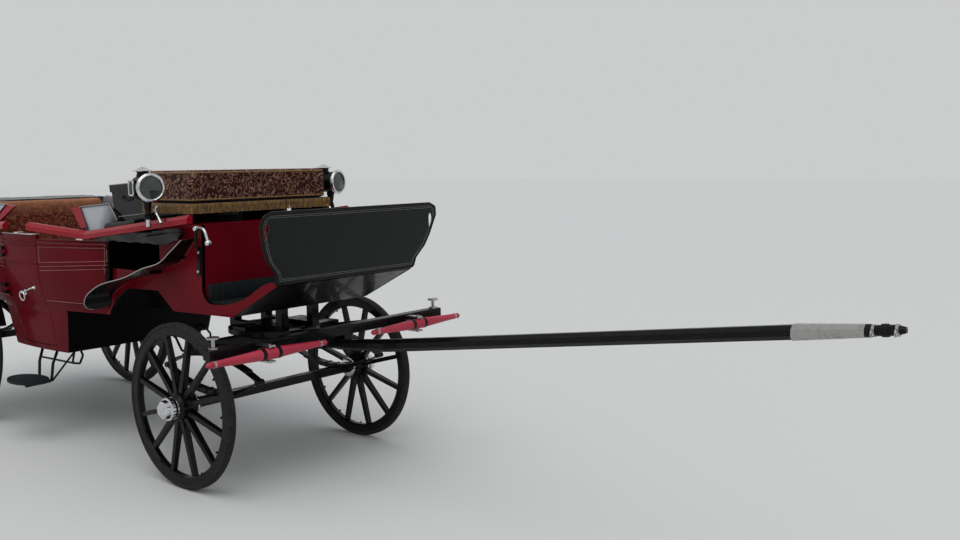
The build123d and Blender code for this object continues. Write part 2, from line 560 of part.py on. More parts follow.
def fenders():
    """Write the four splash guards with the stays that hold them."""
    line = [(WHEELBASE + x, QUARTER_BOTTOM + z) for x, z in FENDER_LINE]
    strip = fender_strip(line, FENDER_THICKNESS, -FENDER_OUTER, -FENDER_INNER)
    end_z = QUARTER_BOTTOM + 98
    lower = across([(-FENDER_OUTER, end_z), (-FENDER_OUTER + 46, end_z - 50), (-FENDER_INNER - 46, end_z - 50),
                    (-FENDER_INNER, end_z), (-FENDER_INNER, PILLAR_TOP), (-FENDER_OUTER, PILLAR_TOP)],
                   WHEELBASE - 950, WHEELBASE + 50)
    taper = extrude(section([(WHEELBASE - 950, -FENDER_OUTER), (WHEELBASE - 265, -FENDER_OUTER),
                             (WHEELBASE + 5, -FENDER_INNER - 80), (WHEELBASE + 5, -FENDER_INNER),
                             (WHEELBASE - 950, -FENDER_INNER)]), amount=PILLAR_TOP)
    front = strip & lower & taper
    stays = []
    for (x_low, z_low), (x_high, z_high) in ((line[4], line[5]), (line[6], line[7])):
        x = (x_low + x_high) / 2
        z = (z_low + z_high) / 2 - 8
        stays.append(rod((x, -BOOT_HALF_WIDTH, z), (x, -FENDER_INNER - 62, z), 8))
    front = front + merge(stays)
    write("fenders_front", both(front))

    radius = REAR_WHEEL_RADIUS + 62
    ring = extrude(Plane(origin=(0, -REAR_FENDER_OUTER, REAR_WHEEL_RADIUS), x_dir=(1, 0, 0), z_dir=(0, -1, 0))
                   * (Circle(radius + FENDER_THICKNESS) - Circle(radius)),
                   amount=-(REAR_FENDER_OUTER - REAR_FENDER_INNER))
    window = plate([(0, REAR_WHEEL_RADIUS), (radius * 1.4, REAR_WHEEL_RADIUS + 210), (radius * 1.2, 1400),
                    (-radius * 1.2, 1400), (-radius * 1.4, REAR_WHEEL_RADIUS + 120)],
                   -REAR_FENDER_OUTER - 5, -REAR_FENDER_INNER + 5)
    rear = ring & window
    stay_x = 330.0
    stay_z = REAR_WHEEL_RADIUS + math.sqrt(radius ** 2 - stay_x ** 2) + FENDER_THICKNESS + 6
    bar = rod((stay_x, -plan_width(stay_x, stay_z) + 10, stay_z), (stay_x, -REAR_FENDER_OUTER + 30, stay_z), 8)
    rear = rear + (bar - body_form(0, BELT_TOP))
    write("fenders_rear", both(rear))


def lamps():
    """Write the pair of round-fronted carriage lamps, their lenses and the irons that carry them."""
    front = LAMP_LENGTH * 0.35
    rear = front - LAMP_LENGTH
    case = [(rear, 0), (rear, LAMP_RADIUS - 14), (rear + 12, LAMP_RADIUS), (front - 6, LAMP_RADIUS),
            (front, LAMP_BEZEL_RADIUS - 6), (front + 8, LAMP_BEZEL_RADIUS), (front + 18, LAMP_BEZEL_RADIUS - 2),
            (front + 22, LAMP_BEZEL_RADIUS - 8), (front + 20, LAMP_LENS_RADIUS + 0.2),
            (front + 4, LAMP_LENS_RADIUS + 0.2), (front + 4, 0)]
    drum = revolve(Plane.XY * make_face(Polyline(*case, close=True)), axis=Axis.X)
    chimney = [(0, LAMP_RADIUS - 8), (34, LAMP_RADIUS - 8), (34, LAMP_RADIUS + 22), (50, LAMP_RADIUS + 24),
               (50, LAMP_RADIUS + 28), (24, LAMP_RADIUS + 42), (8, LAMP_RADIUS + 46), (0, LAMP_RADIUS + 46)]
    cap = Pos(rear + 45, 0, 0) * revolve(Plane.XZ * make_face(Polyline(*chimney, close=True)), axis=Axis.Z)
    pane = block(rear + 12, rear + 84, -LAMP_RADIUS - 6, -LAMP_RADIUS + 18, -42, 42)
    drop = LAMP_Z - LAMP_SOCKET_Z
    stem = [(0, -drop), (18, -drop), (20, -drop + 10), (15, -drop + 24), (24, -LAMP_RADIUS - 8),
            (28, -LAMP_RADIUS + 10), (0, -LAMP_RADIUS + 10)]
    stalk = revolve(Plane.XZ * make_face(Polyline(*stem, close=True)), axis=Axis.Z)
    ferrule = Pos(0, 0, -drop - LAMP_FERRULE_LENGTH / 2 + 1) * Cylinder(LAMP_FERRULE_RADIUS, LAMP_FERRULE_LENGTH)
    place = Pos(LAMP_X, -LAMP_Y, LAMP_Z) * Rot(0, 0, -LAMP_TURN)
    write("lamps", both(place * merge([drum, cap, pane, stalk, ferrule])))
    lens = Pos(front + 9, 0, 0) * Rot(0, 90, 0) * Cylinder(LAMP_LENS_RADIUS, 10)
    write("lamp_lenses", both(place * lens))
    arm_z = LAMP_SOCKET_Z - LAMP_SOCKET_DEPTH / 2
    bore = Pos(LAMP_X, -LAMP_Y, arm_z) * Cylinder(LAMP_FERRULE_RADIUS + 0.1, LAMP_FERRULE_LENGTH)
    bar = rod((LAMP_X, -BOOT_HALF_WIDTH, arm_z), (LAMP_X, -LAMP_Y, arm_z), 8)
    socket = Pos(LAMP_X, -LAMP_Y, arm_z) * Cylinder(22, LAMP_SOCKET_DEPTH)
    write("lamp_irons", both((bar + socket) - bore))


def steps():
    """Write the passengers' step on each side: an oval rubber tread on two curved irons and a braced link."""
    pad = Pos(STEP_PAD_X, -STEP_PAD_Y, STEP_PAD_Z) * extrude(Ellipse(STEP_PAD_HALF_X, STEP_PAD_HALF_Y), amount=14)
    under = WELL_BOTTOM - STEP_IRON_RADIUS
    low = STEP_PAD_Z - STEP_IRON_RADIUS - 5
    reach = -STEP_PAD_Y - STEP_PAD_HALF_Y * 0.5
    irons = []
    for x_top, x_low in ((STEP_PAD_X - 170, STEP_PAD_X - 62), (STEP_PAD_X + 20, STEP_PAD_X + 76)):
        lean = (x_low - x_top) / 3
        irons.append(bent_rod([(x_top, -400, under), (x_top, -456, under), (x_top + lean, -504, low + 105),
                               (x_top + 2 * lean, -530, low), (x_low, reach, low)], STEP_IRON_RADIUS, 22))
        irons.append(block(x_low - 10, x_low + 10, reach - 6, reach + 30, low, STEP_PAD_Z))
        irons.append(block(x_top - 26, x_top + 26, -452, -392, under - 2, WELL_BOTTOM))
    link_z = low + 128
    heel = (STEP_PAD_X + 240, -480, link_z)
    toe = (heel[0] + 84, -478, link_z + 6)
    irons.append(rod((STEP_PAD_X - 142, -494, link_z), heel, 6))
    irons.append(rod(heel, (heel[0] - 16, -456, WELL_BOTTOM - 4), 7))
    irons.append(bent_rod([heel, toe, (toe[0] + 22, -466, link_z + 58), (heel[0] + 34, -456, WELL_BOTTOM + 44)], 7, 16))
    irons.append(rod((STEP_PAD_X + 64, -528, low), (heel[0] - 4, -462, WELL_BOTTOM - 2), 6))
    frame = merge(irons) - body_form(0, BELT_TOP)
    write("step_irons", both(frame))
    write("step_treads", both(pad))


def spring(centre, height):
    """Return a full elliptic spring of stacked leaves between two heights, with its end eyes."""
    x, y, z_low = centre
    rise = height / 2
    leaves = []
    for way in (-1, 1):
        for index in range(LEAF_COUNT):
            reach = SPRING_LENGTH / 2 * (1 - 0.2 * index)
            bow = rise - LEAF_COUNT * LEAF_THICKNESS
            radius = (bow * bow + (SPRING_LENGTH / 2) ** 2) / (2 * bow)
            inner = radius + index * LEAF_THICKNESS
            plane = Plane(origin=(x, y - LEAF_WIDTH / 2, z_low + rise - way * (radius - bow)),
                          x_dir=(1, 0, 0), z_dir=(0, -1, 0))
            leaf = extrude(plane * (Circle(inner + LEAF_THICKNESS) - Circle(inner)), amount=-LEAF_WIDTH)
            z_mid = z_low + rise
            window = block(x - reach, x + reach, y - LEAF_WIDTH, y + LEAF_WIDTH,
                           *((z_mid - 4, z_low + height + 50) if way > 0 else (z_low - 50, z_mid + 4)))
            leaves.append(leaf & window)
    for end in (-1, 1):
        leaves.append(Pos(x + end * SPRING_LENGTH / 2, y, z_low + rise) * Rot(90, 0, 0) * Cylinder(15, LEAF_WIDTH))
    stack = LEAF_COUNT * LEAF_THICKNESS + 4
    for start in (x - CLIP_SPACING - CLIP_WIDTH, x + CLIP_SPACING):
        for base in (z_low, z_low + height - stack):
            leaves.append(block(start, start + CLIP_WIDTH, y - LEAF_WIDTH / 2 - 4, y + LEAF_WIDTH / 2 + 4, base,
                                base + stack))
    return merge(leaves)


def axle(centre):
    """Return a forged axle bed with its two turned spindles."""
    x, _, z = centre
    half = AXLE_SECTION / 2
    inner = TRACK / 2 - HUB_LENGTH / 2 - 22
    bed = block(x - half, x + half, -inner, inner, z - half, z + half)
    collar = TRACK / 2 - HUB_LENGTH / 2 - 1.0
    spindle_end = TRACK / 2 + HUB_LENGTH / 2 - 4
    pieces = [bed]
    for side in (-1, 1):
        pieces.append(turned([(inner - 4, 0), (inner - 4, 34), (collar, 34), (collar, SPINDLE_RADIUS),
                              (spindle_end, SPINDLE_RADIUS), (spindle_end, 0)], centre, side))
    return merge(pieces)


def wheel(centre, side, radius, spokes, name):
    """Write one wheel: turned hub, tapered spokes and felloes, its rubber tyre and its bright hub cap."""
    x, _, z = centre
    middle = (x, side * TRACK / 2, z)
    felloe_outer = radius - TYRE_DEPTH
    felloe_inner = felloe_outer - FELLOE_DEPTH
    bore = SPINDLE_RADIUS + SPINDLE_CLEARANCE
    half = HUB_LENGTH / 2
    hub = turned([(-half, bore), (-half, HUB_END_RADIUS), (-half + 26, HUB_END_RADIUS), (-30, HUB_RADIUS),
                  (30, HUB_RADIUS), (half - 26, HUB_END_RADIUS), (half, HUB_END_RADIUS), (half, bore)], middle, side)
    width = FELLOE_WIDTH / 2
    rim = turned([(-width, felloe_inner + 8), (-width + 8, felloe_inner), (width - 8, felloe_inner),
                  (width, felloe_inner + 8), (width, felloe_outer), (-width, felloe_outer)], middle, side)
    root = HUB_RADIUS - 8
    reach = felloe_inner + 6
    blade = [(-SPOKE_THICKNESS / 2, root), (SPOKE_THICKNESS / 2, root), (SPOKE_THICKNESS * 0.36, reach),
             (-SPOKE_THICKNESS * 0.36, reach)]
    cheek = [(-SPOKE_WIDTH / 2, root), (SPOKE_WIDTH / 2, root), (SPOKE_WIDTH * 0.42, root + 90),
             (SPOKE_WIDTH * 0.42, reach), (-SPOKE_WIDTH * 0.42, reach), (-SPOKE_WIDTH * 0.42, root + 90)]
    spoke = across(blade, -SPOKE_WIDTH, SPOKE_WIDTH) & plate(cheek, -SPOKE_THICKNESS, SPOKE_THICKNESS)
    pieces = [hub, rim]
    for index in range(spokes):
        pieces.append(Pos(*middle) * Rot(0, 360 / spokes * (index + 0.5), 0) * spoke)
    write(f"wheel_{name}", merge(pieces))
    tyre_half = TYRE_WIDTH / 2
    tyre = turned([(-tyre_half + 4, felloe_outer), (-tyre_half, felloe_outer + 6), (-tyre_half, radius - 10),
                   (-tyre_half + 12, radius), (tyre_half - 12, radius), (tyre_half, radius - 10),
                   (tyre_half, felloe_outer + 6), (tyre_half - 4, felloe_outer)], middle, side)
    write(f"tyre_{name}", tyre)
    cap = turned([(half, 0), (half, CAP_RADIUS), (half + 12, CAP_RADIUS), (half + 16, CAP_RADIUS - 9),
                  (half + CAP_LENGTH - 8, CAP_RADIUS - 14), (half + CAP_LENGTH, CAP_RADIUS - 26),
                  (half + CAP_LENGTH, 0)], middle, side)
    write(f"hub_cap_{name}", cap)


def undercarriage():
    """Write the rear running gear and the fixed half of the turntable."""
    axle_top = REAR_WHEEL_RADIUS + AXLE_SECTION / 2
    bar_top = QUARTER_BOTTOM
    bar = 22.0
    springs = [spring((0, side * SPRING_TRACK / 2, axle_top), bar_top - bar - axle_top) for side in (-1, 1)]
    write("axle_rear", axle(REAR_AXLE))
    write("springs_rear", springs)
    irons = []
    for side in (-1, 1):
        y = side * SPRING_TRACK / 2
        irons.append(block(-160, 440, y - 24, y + 24, bar_top - bar, bar_top))
    irons.append(block(-160, -110, -SPRING_TRACK / 2, SPRING_TRACK / 2, bar_top - bar, bar_top))
    irons.append(block(40, 90, -SPRING_TRACK / 2, SPRING_TRACK / 2, bar_top - bar, bar_top))
    write("rear_body_irons", merge(irons))

    ring_low = BED_BOTTOM + BED_HEIGHT + RING_THICKNESS + RING_CLEARANCE
    ring = Pos(WHEELBASE, 0, ring_low + RING_THICKNESS / 2) * (
        Cylinder(RING_RADIUS, RING_THICKNESS) - Cylinder(RING_RADIUS - RING_WIDTH, RING_THICKNESS + 2))
    transom = block(WHEELBASE - 55, WHEELBASE + 55, -RING_RADIUS + 10, RING_RADIUS - 10, ring_low, ring_low + 34)
    posts = [block(x - 24, x + 24, y - 24, y + 24, ring_low + RING_THICKNESS - 2, BOOT_BOTTOM)
             for x in (WHEELBASE - 205, WHEELBASE + 205) for y in (-110, 110)]
    bars = [block(WHEELBASE - 229, WHEELBASE + 229, y - 24, y + 24, ring_low + RING_THICKNESS - 2, ring_low + 40)
            for y in (-110, 110)]
    pin = Pos(WHEELBASE, 0, (BED_BOTTOM + ring_low + 20) / 2 - 6) * Cylinder(KING_PIN_RADIUS, ring_low + 20 - BED_BOTTOM
                                                                         + 12)
    write("turntable_upper", merge([ring, transom, pin] + posts + bars))


def fore_carriage():
    """Write what steers: lower ring, bed and futchells, front axle and springs, splinter bar and pole."""
    axle_top = FRONT_WHEEL_RADIUS + AXLE_SECTION / 2
    bed_top = BED_BOTTOM + BED_HEIGHT
    write("axle_front", axle(FRONT_AXLE))
    write("springs_front", [spring((WHEELBASE, side * SPRING_TRACK / 2, axle_top), BED_BOTTOM - axle_top)
                            for side in (-1, 1)])
    ring = Pos(WHEELBASE, 0, bed_top + RING_THICKNESS / 2) * (
        Cylinder(RING_RADIUS, RING_THICKNESS) - Cylinder(RING_RADIUS - RING_WIDTH, RING_THICKNESS + 2))
    pin_hole = Pos(WHEELBASE, 0, bed_top) * Cylinder(KING_PIN_RADIUS + SPINDLE_CLEARANCE, 400)
    write("turntable_lower", ring)
    half = SPRING_TRACK / 2 + 28
    bed = block(WHEELBASE - 38, WHEELBASE + 38, -half, half, BED_BOTTOM, bed_top)
    bed = bed + Pos(WHEELBASE, 0, BED_BOTTOM + BED_HEIGHT / 2) * Cylinder(60, BED_HEIGHT)
    front = SPLINTER_X + SPLINTER_DEPTH / 2
    inner = POLE_ROOT_WIDTH / 2
    beams = []
    for side in (-1, 1):
        outline = [(WHEELBASE - 245, BED_BOTTOM), (front - 60, BED_BOTTOM + 8), (front, BED_BOTTOM + 20),
                   (front, SPLINTER_BOTTOM), (front - 120, SPLINTER_BOTTOM), (front - 200, bed_top),
                   (WHEELBASE - 245, bed_top)]
        beams.append(plate(outline, *sorted((side * inner, side * (inner + FUTCHELL_WIDTH)))))
    stays = [rod((WHEELBASE + 30, side * (half - 40), BED_BOTTOM + 28),
                 (SPLINTER_X, side * (SPLINTER_HALF_LENGTH - 260), SPLINTER_BOTTOM + 25), 11) for side in (-1, 1)]
    tail = block(WHEELBASE - 245, WHEELBASE - 200, -inner, inner, BED_BOTTOM, bed_top)
    splinter = block(SPLINTER_X - SPLINTER_DEPTH / 2, front, -SPLINTER_HALF_LENGTH, SPLINTER_HALF_LENGTH,
                     SPLINTER_BOTTOM, SPLINTER_BOTTOM + SPLINTER_HEIGHT)
    frame = merge([bed, tail] + beams + stays) - splinter - pin_hole
    write("futchells", frame)
    brackets = []
    reach = SWINGLETREE_X + 20
    for side in (-1, 1):
        y = side * SWINGLETREE_Y
        top = SWINGLETREE_Z + SWINGLETREE_RADIUS + 5
        low = SWINGLETREE_Z - SWINGLETREE_RADIUS - 5
        lug = block(front - 1, reach, y - 20, y + 20, top, top + 9)
        lug = lug + block(front - 1, reach, y - 20, y + 20, low - 9, low)
        lug = lug + block(front - 1, front + 4, y - 20, y + 20, low - 9, SPLINTER_BOTTOM + 20)
        bolt = rod((SWINGLETREE_X, y, low - 14), (SWINGLETREE_X, y, top + 14), SWINGLETREE_BOLT_RADIUS)
        brackets.append((lug + bolt) - splinter)
    rollers = []
    for side in (-1, 1):
        y = side * ROLLER_Y
        base = SPLINTER_BOTTOM + SPLINTER_HEIGHT
        rollers.append(Pos(SPLINTER_X, y, base + 4) * Cylinder(24, 8)
                       + Pos(SPLINTER_X, y, base + 8 + ROLLER_HEIGHT / 2) * Cylinder(ROLLER_RADIUS, ROLLER_HEIGHT)
                       + Pos(SPLINTER_X, y, base + 8 + ROLLER_HEIGHT + 5) * Cylinder(30, 10))
    write("splinter_bar", splinter - merge(brackets))
    write("draught_irons", brackets + rollers)
    pole()
    for side, name in ((-1, "right"), (1, "left")):
        write(f"swingletree_{name}", swingletree(side))


def swingletree(side):
    """Return one turned swingletree on its bolt, thick in the middle and knobbed at both ends."""
    y = side * SWINGLETREE_Y
    profile = [(0, SWINGLETREE_RADIUS), (30, SWINGLETREE_RADIUS), (300, SWINGLETREE_END_RADIUS),
               (336, SWINGLETREE_END_RADIUS), (338, SWINGLETREE_END_RADIUS - 4), (346, SWINGLETREE_END_RADIUS - 4),
               (352, SWINGLETREE_END_RADIUS - 0.5), (SWINGLETREE_HALF_LENGTH, SWINGLETREE_END_RADIUS - 8)]
    points = [(0, SWINGLETREE_HALF_LENGTH)] + [(r, d) for d, r in reversed(profile)][:-1]
    points += [(r, -d) for d, r in profile] + [(0, -SWINGLETREE_HALF_LENGTH)]
    bar = revolve(make_face(Polyline(*points, close=True)), axis=Axis.Y)
    hole = Cylinder(SWINGLETREE_BOLT_RADIUS + SPINDLE_CLEARANCE, 200)
    return Pos(SWINGLETREE_X, y, SWINGLETREE_Z) * (bar - hole)


def pole():
    """Write the pole, its bright sleeve and the head with the rings."""
    root_z = BED_BOTTOM + 2 + POLE_ROOT_HEIGHT / 2
    half = POLE_ROOT_WIDTH / 2
    stations = [
        (WHEELBASE + 75, root_z, half, POLE_ROOT_HEIGHT / 2),
        (3110, root_z, half, POLE_ROOT_HEIGHT / 2),
        (POLE_RISE_X, root_z + 30, 34, 32),
        (5560, 1034, 30, 28),
    ]
    pieces = []
    for low, high in zip(stations, stations[1:]):
        pieces.append(pole_run(low, high))
    write("pole", merge(pieces))
    sleeve = pole_run((5560, 1034, 33, 31), (5820, 1064, 25, 24))
    write("pole_sleeve", sleeve)
    start = Vector(5820, 0, 1064)
    along = (Vector(POLE_TIP_X, 0, POLE_TIP_Z) - start).normalized()
    seat = Plane(origin=start - along * 2, z_dir=along)
    stub = [(0, 0), (POLE_COLLAR_RADIUS, 0), (POLE_COLLAR_RADIUS, 18), (POLE_END_RADIUS, 18),
            (POLE_END_RADIUS, 18 + POLE_END_LENGTH), (POLE_END_RADIUS - 9, POLE_HEAD_LENGTH), (0, POLE_HEAD_LENGTH)]
    profile = make_face(Polyline(*[(r, 0, d) for r, d in stub], close=True))
    write("pole_head", seat.location * revolve(profile, axis=Axis.Z) - sleeve)


def pole_run(low, high):
    """Return a tapered octagonal run between two stations given as (x, z, half width, half height)."""
    faces = []
    for x, z, wide, tall in (low, high):
        cut = 0.42
        points = [(wide, tall * cut), (wide * cut, tall), (-wide * cut, tall), (-wide, tall * cut),
                  (-wide, -tall * cut), (-wide * cut, -tall), (wide * cut, -tall), (wide, -tall * cut)]
        faces.append(Plane(origin=(x, 0, z), x_dir=(0, 1, 0), z_dir=(1, 0, 0)) * section(points))
    return loft(faces, ruled=True)


def brake():
    """Write the hand brake on the outside of the boot: strap, standard, pivot, crank and knob."""
    face = -BOOT_HALF_WIDTH
    x = PILLAR_FRONT - 16
    low = PILLAR_TOP - 268
    pivot = (x + 4, face - 24, PILLAR_TOP - 18)
    strap = plate([(x - 34, low), (x - 6, low), (x + 10, low + 150), (x - 20, low + 150)], face - 8, face)
    bolts = [rod((x - 18 + rise * 0.1, face - 14, low + rise), (x - 18 + rise * 0.1, face - 7, low + rise), 8)
             for rise in (22, 124)]
    standard = bent_rod([(x - 4, face - 8, low + 132), (x - 4, face - 24, low + 156), pivot], 8, 14)
    knob = (pivot[0] + 100, pivot[1], pivot[2] - 72)
    crank = bent_rod([pivot, (pivot[0] + 62, pivot[1], pivot[2] + 2), knob], 6, 30)
    write("hand_brake", merge([strap, standard, crank, Pos(*pivot) * Sphere(14), Pos(*knob) * Sphere(BRAKE_KNOB_RADIUS)]
                              + bolts))



body()
seats()
boot()
dash()
folded_head()
fenders()
lamps()
steps()
undercarriage()
fore_carriage()
brake()
for axle_centre, wheel_radius, count, place in (
        (FRONT_AXLE, FRONT_WHEEL_RADIUS, FRONT_SPOKES, "front"),
        (REAR_AXLE, REAR_WHEEL_RADIUS, REAR_SPOKES, "rear")):
    for hand, hand_name in ((-1, "right"), (1, "left")):
        wheel(axle_centre, hand, wheel_radius, count, f"{place}_{hand_name}")
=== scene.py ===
"""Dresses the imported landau: coach paint, leather, cloth and plate, the soft parts, the light and the camera.

Everything is in metres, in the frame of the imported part: +X forwards along the pole, +Y to the left, +Z up,
with the ground at zero. Places on the carriage are read from its rear axle in millimetres, by Coach.at.
"""
from __future__ import annotations

import json
import logging
import math
import random
from collections.abc import Callable, Iterator, Sequence
from contextlib import contextmanager
from dataclasses import dataclass
from enum import Enum

import bmesh
import bpy
from mathutils import Euler, Matrix, Vector
from mathutils.bvhtree import BVHTree

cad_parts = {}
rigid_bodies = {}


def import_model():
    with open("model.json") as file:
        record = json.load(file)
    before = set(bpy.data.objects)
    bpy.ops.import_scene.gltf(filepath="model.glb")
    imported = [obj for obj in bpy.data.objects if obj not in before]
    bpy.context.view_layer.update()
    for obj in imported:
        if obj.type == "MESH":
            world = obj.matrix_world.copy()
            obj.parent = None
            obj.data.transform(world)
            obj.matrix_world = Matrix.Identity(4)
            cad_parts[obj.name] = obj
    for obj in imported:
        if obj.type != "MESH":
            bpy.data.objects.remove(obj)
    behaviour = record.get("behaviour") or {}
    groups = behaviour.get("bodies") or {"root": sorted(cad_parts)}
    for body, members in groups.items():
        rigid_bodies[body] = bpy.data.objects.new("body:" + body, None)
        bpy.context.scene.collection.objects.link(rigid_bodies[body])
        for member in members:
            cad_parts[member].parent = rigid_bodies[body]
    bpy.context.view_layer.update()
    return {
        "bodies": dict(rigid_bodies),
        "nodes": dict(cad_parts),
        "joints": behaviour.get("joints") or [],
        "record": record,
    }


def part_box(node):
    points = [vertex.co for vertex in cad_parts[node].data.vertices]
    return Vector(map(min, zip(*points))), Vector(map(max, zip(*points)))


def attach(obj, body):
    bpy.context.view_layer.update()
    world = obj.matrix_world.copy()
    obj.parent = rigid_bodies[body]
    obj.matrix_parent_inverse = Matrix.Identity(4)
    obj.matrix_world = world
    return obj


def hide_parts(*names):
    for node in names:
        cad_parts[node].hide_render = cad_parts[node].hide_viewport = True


LOG = logging.getLogger("landau")
MM = 0.001
BODY_MIDDLE = 865.0  # the cabin's middle, in millimetres ahead of the rear axle
OUTSIDE = -900.0  # a Y in millimetres, clear of the right side
SAME_PLACE = 0.0002  # points nearer than this, in metres, are one
SMOOTH_ANGLE = 35.0  # degrees; edges that turn more than this stay sharp
ROUND_ANGLE = 60.0
BEVEL_ANGLE = 30.0
WELT_PROUD = 0.3  # how far a welt stands out of its cushion, as a share of its radius
LEFTWARDS = (0.0, 1.0, 0.0)
RIGHTWARDS = (0.0, -1.0, 0.0)
UPWARDS = (0.0, 0.0, 1.0)
ENDS = ("front", "rear")
SIDES = ("left", "right")
Point = tuple[float, float, float]
Flat = tuple[float, float]
Socket = bpy.types.NodeSocket
Material = bpy.types.Material
Piece = bpy.types.Object


class Body(str, Enum):
    """The rigid bodies that pieces ride on, apart from the doors, wheels and swingletrees."""

    COACH = "body"
    FORE = "fore_carriage"


class Side(Enum):
    """A side of the carriage, with the sign of its Y."""

    RIGHT = -1
    LEFT = 1


def linear(code: str) -> tuple[float, float, float, float]:
    """Turn an sRGB hex colour into linear light.

    Args:
        code: six hex digits, red, green and blue.

    Returns:
        Red, green, blue and an alpha of one.
    """
    shares = [int(code[i:i + 2], 16) / 255 for i in (0, 2, 4)]
    red, green, blue = [c / 12.92 if c <= 0.04045 else ((c + 0.055) / 1.055) ** 2.4 for c in shares]
    return red, green, blue, 1.0


# Materials


class Shades:
    """A node tree, with short ways to add the nodes that patterns are made of."""

    def __init__(self, tree: bpy.types.NodeTree) -> None:
        """Keep the tree to add to."""
        self.tree = tree

    def node(self, kind: str, values: dict[str | int, object] | None = None,
             **settings: object) -> bpy.types.Node:
        """Add a node with its settings, input values and links.

        Args:
            kind: the node's type name, less its first word.
            values: input name or number to a value, or to the output socket that feeds it.
            settings: attributes of the node itself.

        Returns:
            The new node.
        """
        node = self.tree.nodes.new("ShaderNode" + kind)
        for name, value in settings.items():
            setattr(node, name, value)
        for name, value in (values or {}).items():
            if isinstance(value, Socket):
                self.tree.links.new(value, node.inputs[name])
            else:
                node.inputs[name].default_value = value
        return node

    def ramp(self, source: Socket, *stops: tuple[float, str]) -> Socket:
        """Turn a value into a colour.

        Args:
            source: the value that runs along the ramp.
            stops: place and sRGB hex colour of each stop, in order.

        Returns:
            The ramp's colour.
        """
        node = self.node("ValToRGB", {0: source})
        elements = node.color_ramp.elements
        while len(elements) < len(stops):
            elements.new(0.5)
        for element, (place, code) in zip(elements, stops):
            element.position = place
            element.color = linear(code)
        return node.outputs["Color"]

    def span(self, source: Socket, low: float, high: float, first: float = 0.0, last: float = 1.0) -> Socket:
        """Map the range low to high onto first to last, held at both ends."""
        return self.node("MapRange", {0: source, 1: low, 2: high, 3: first, 4: last}).outputs[0]

    def sum(self, operation: str, *terms: float | Socket) -> Socket:
        """Return a sum of one to three terms."""
        return self.node("Math", dict(enumerate(terms)), operation=operation).outputs[0]

    def vector_sum(self, operation: str, *terms: Point | Socket) -> Socket:
        """Return a vector sum of one to three terms."""
        return self.node("VectorMath", dict(enumerate(terms)), operation=operation).outputs[0]

    def blend(self, share: Socket, first: Socket, second: Socket | tuple[float, ...]) -> Socket:
        """Return the first colour, and the second one where the share is one."""
        return self.node("Mix", {0: share, 6: first, 7: second}, data_type="RGBA").outputs[2]

    def parts(self, source: Socket) -> bpy.types.NodeOutputs:
        """Return a vector's X, Y and Z."""
        return self.node("SeparateXYZ", {0: source}).outputs

    def noise(self, place: Socket, size: float, detail: float = 3.0, roughness: float = 0.5) -> Socket:
        """Return noise whose patches are about size metres across."""
        return self.node("TexNoise", {"Vector": place, "Scale": 1 / size, "Detail": detail,
                                      "Roughness": roughness}).outputs[0]


class Surface(Shades):
    """A material's node tree with its Principled node and the piece's own coordinates."""

    def __init__(self, name: str, values: dict[str, float | tuple[float, ...]]) -> None:
        """Make the material.

        Args:
            name: the material's name.
            values: the Principled node's inputs that differ from its own.
        """
        self.material = bpy.data.materials.new(name)
        self.material.use_nodes = True
        super().__init__(self.material.node_tree)
        self.inputs = self.tree.nodes["Principled BSDF"].inputs
        for key, value in values.items():
            self.inputs[key].default_value = value
        self.place = self.node("TexCoord").outputs["Object"]

    def feed(self, name: str, source: Socket) -> None:
        """Let a pattern drive an input."""
        self.tree.links.new(source, self.inputs[name])

    def tone(self, source: Socket, *stops: tuple[float, str]) -> None:
        """Colour the surface by a pattern."""
        self.feed("Base Color", self.ramp(source, *stops))

    def dull(self, source: Socket, low: float, high: float, clean: float, extra: float) -> None:
        """Raise the roughness from clean by extra, as a pattern runs from low to high."""
        self.feed("Roughness", self.span(source, low, high, clean, clean + extra))

    def bump(self, height: Socket, depth: float, strength: float = 1.0, target: str = "Normal") -> None:
        """Let a height pattern, depth metres deep, dent the surface."""
        dents = self.node("Bump", {"Height": height, "Distance": depth, "Strength": strength})
        self.feed(target, dents.outputs[0])


@dataclass(frozen=True)
class Finish:
    """One finish: a Principled material on the piece's own coordinates."""

    name: str
    colour: str
    roughness: float = 0.4
    metallic: float = 0.0
    coat: float = 0.0
    coat_roughness: float = 0.03
    ior: float = 1.5
    specular: float = 0.5

    def build(self) -> Material:
        """Return the finished material."""
        surface = Surface(self.name, {
            "Base Color": linear(self.colour), "Roughness": self.roughness, "Metallic": self.metallic,
            "Coat Weight": self.coat, "Coat Roughness": self.coat_roughness, "IOR": self.ior,
            "Specular IOR Level": self.specular})
        self.pattern(surface)
        return surface.material

    def pattern(self, surface: Surface) -> None:
        """Add what makes the finish uneven; a plain one has nothing."""


@dataclass(frozen=True)
class CoachPaint(Finish):
    """Brushed coach enamel, rubbed down and varnished: deep colour under a clear, slightly rippled coat."""

    worn: str = "000000"
    ripple: float = 0.0006

    def pattern(self, surface: Surface) -> None:
        """Cloud the colour and ripple the varnish."""
        cloud = surface.noise(surface.place, 0.35, 4.0)
        tone = surface.ramp(cloud, (0.35, self.colour), (0.75, self.worn))
        surface.feed("Base Color", self.parted(surface, tone))
        surface.dull(surface.noise(surface.place, 0.09, 6.0, 0.65), 0.3, 0.8, self.roughness, 0.1)
        surface.bump(surface.noise(surface.place, 0.12, 1.0), self.ripple, 0.6, "Coat Normal")

    def parted(self, surface: Surface, tone: Socket) -> Socket:
        """Return the paint's colour all over, here the tone itself."""
        return tone


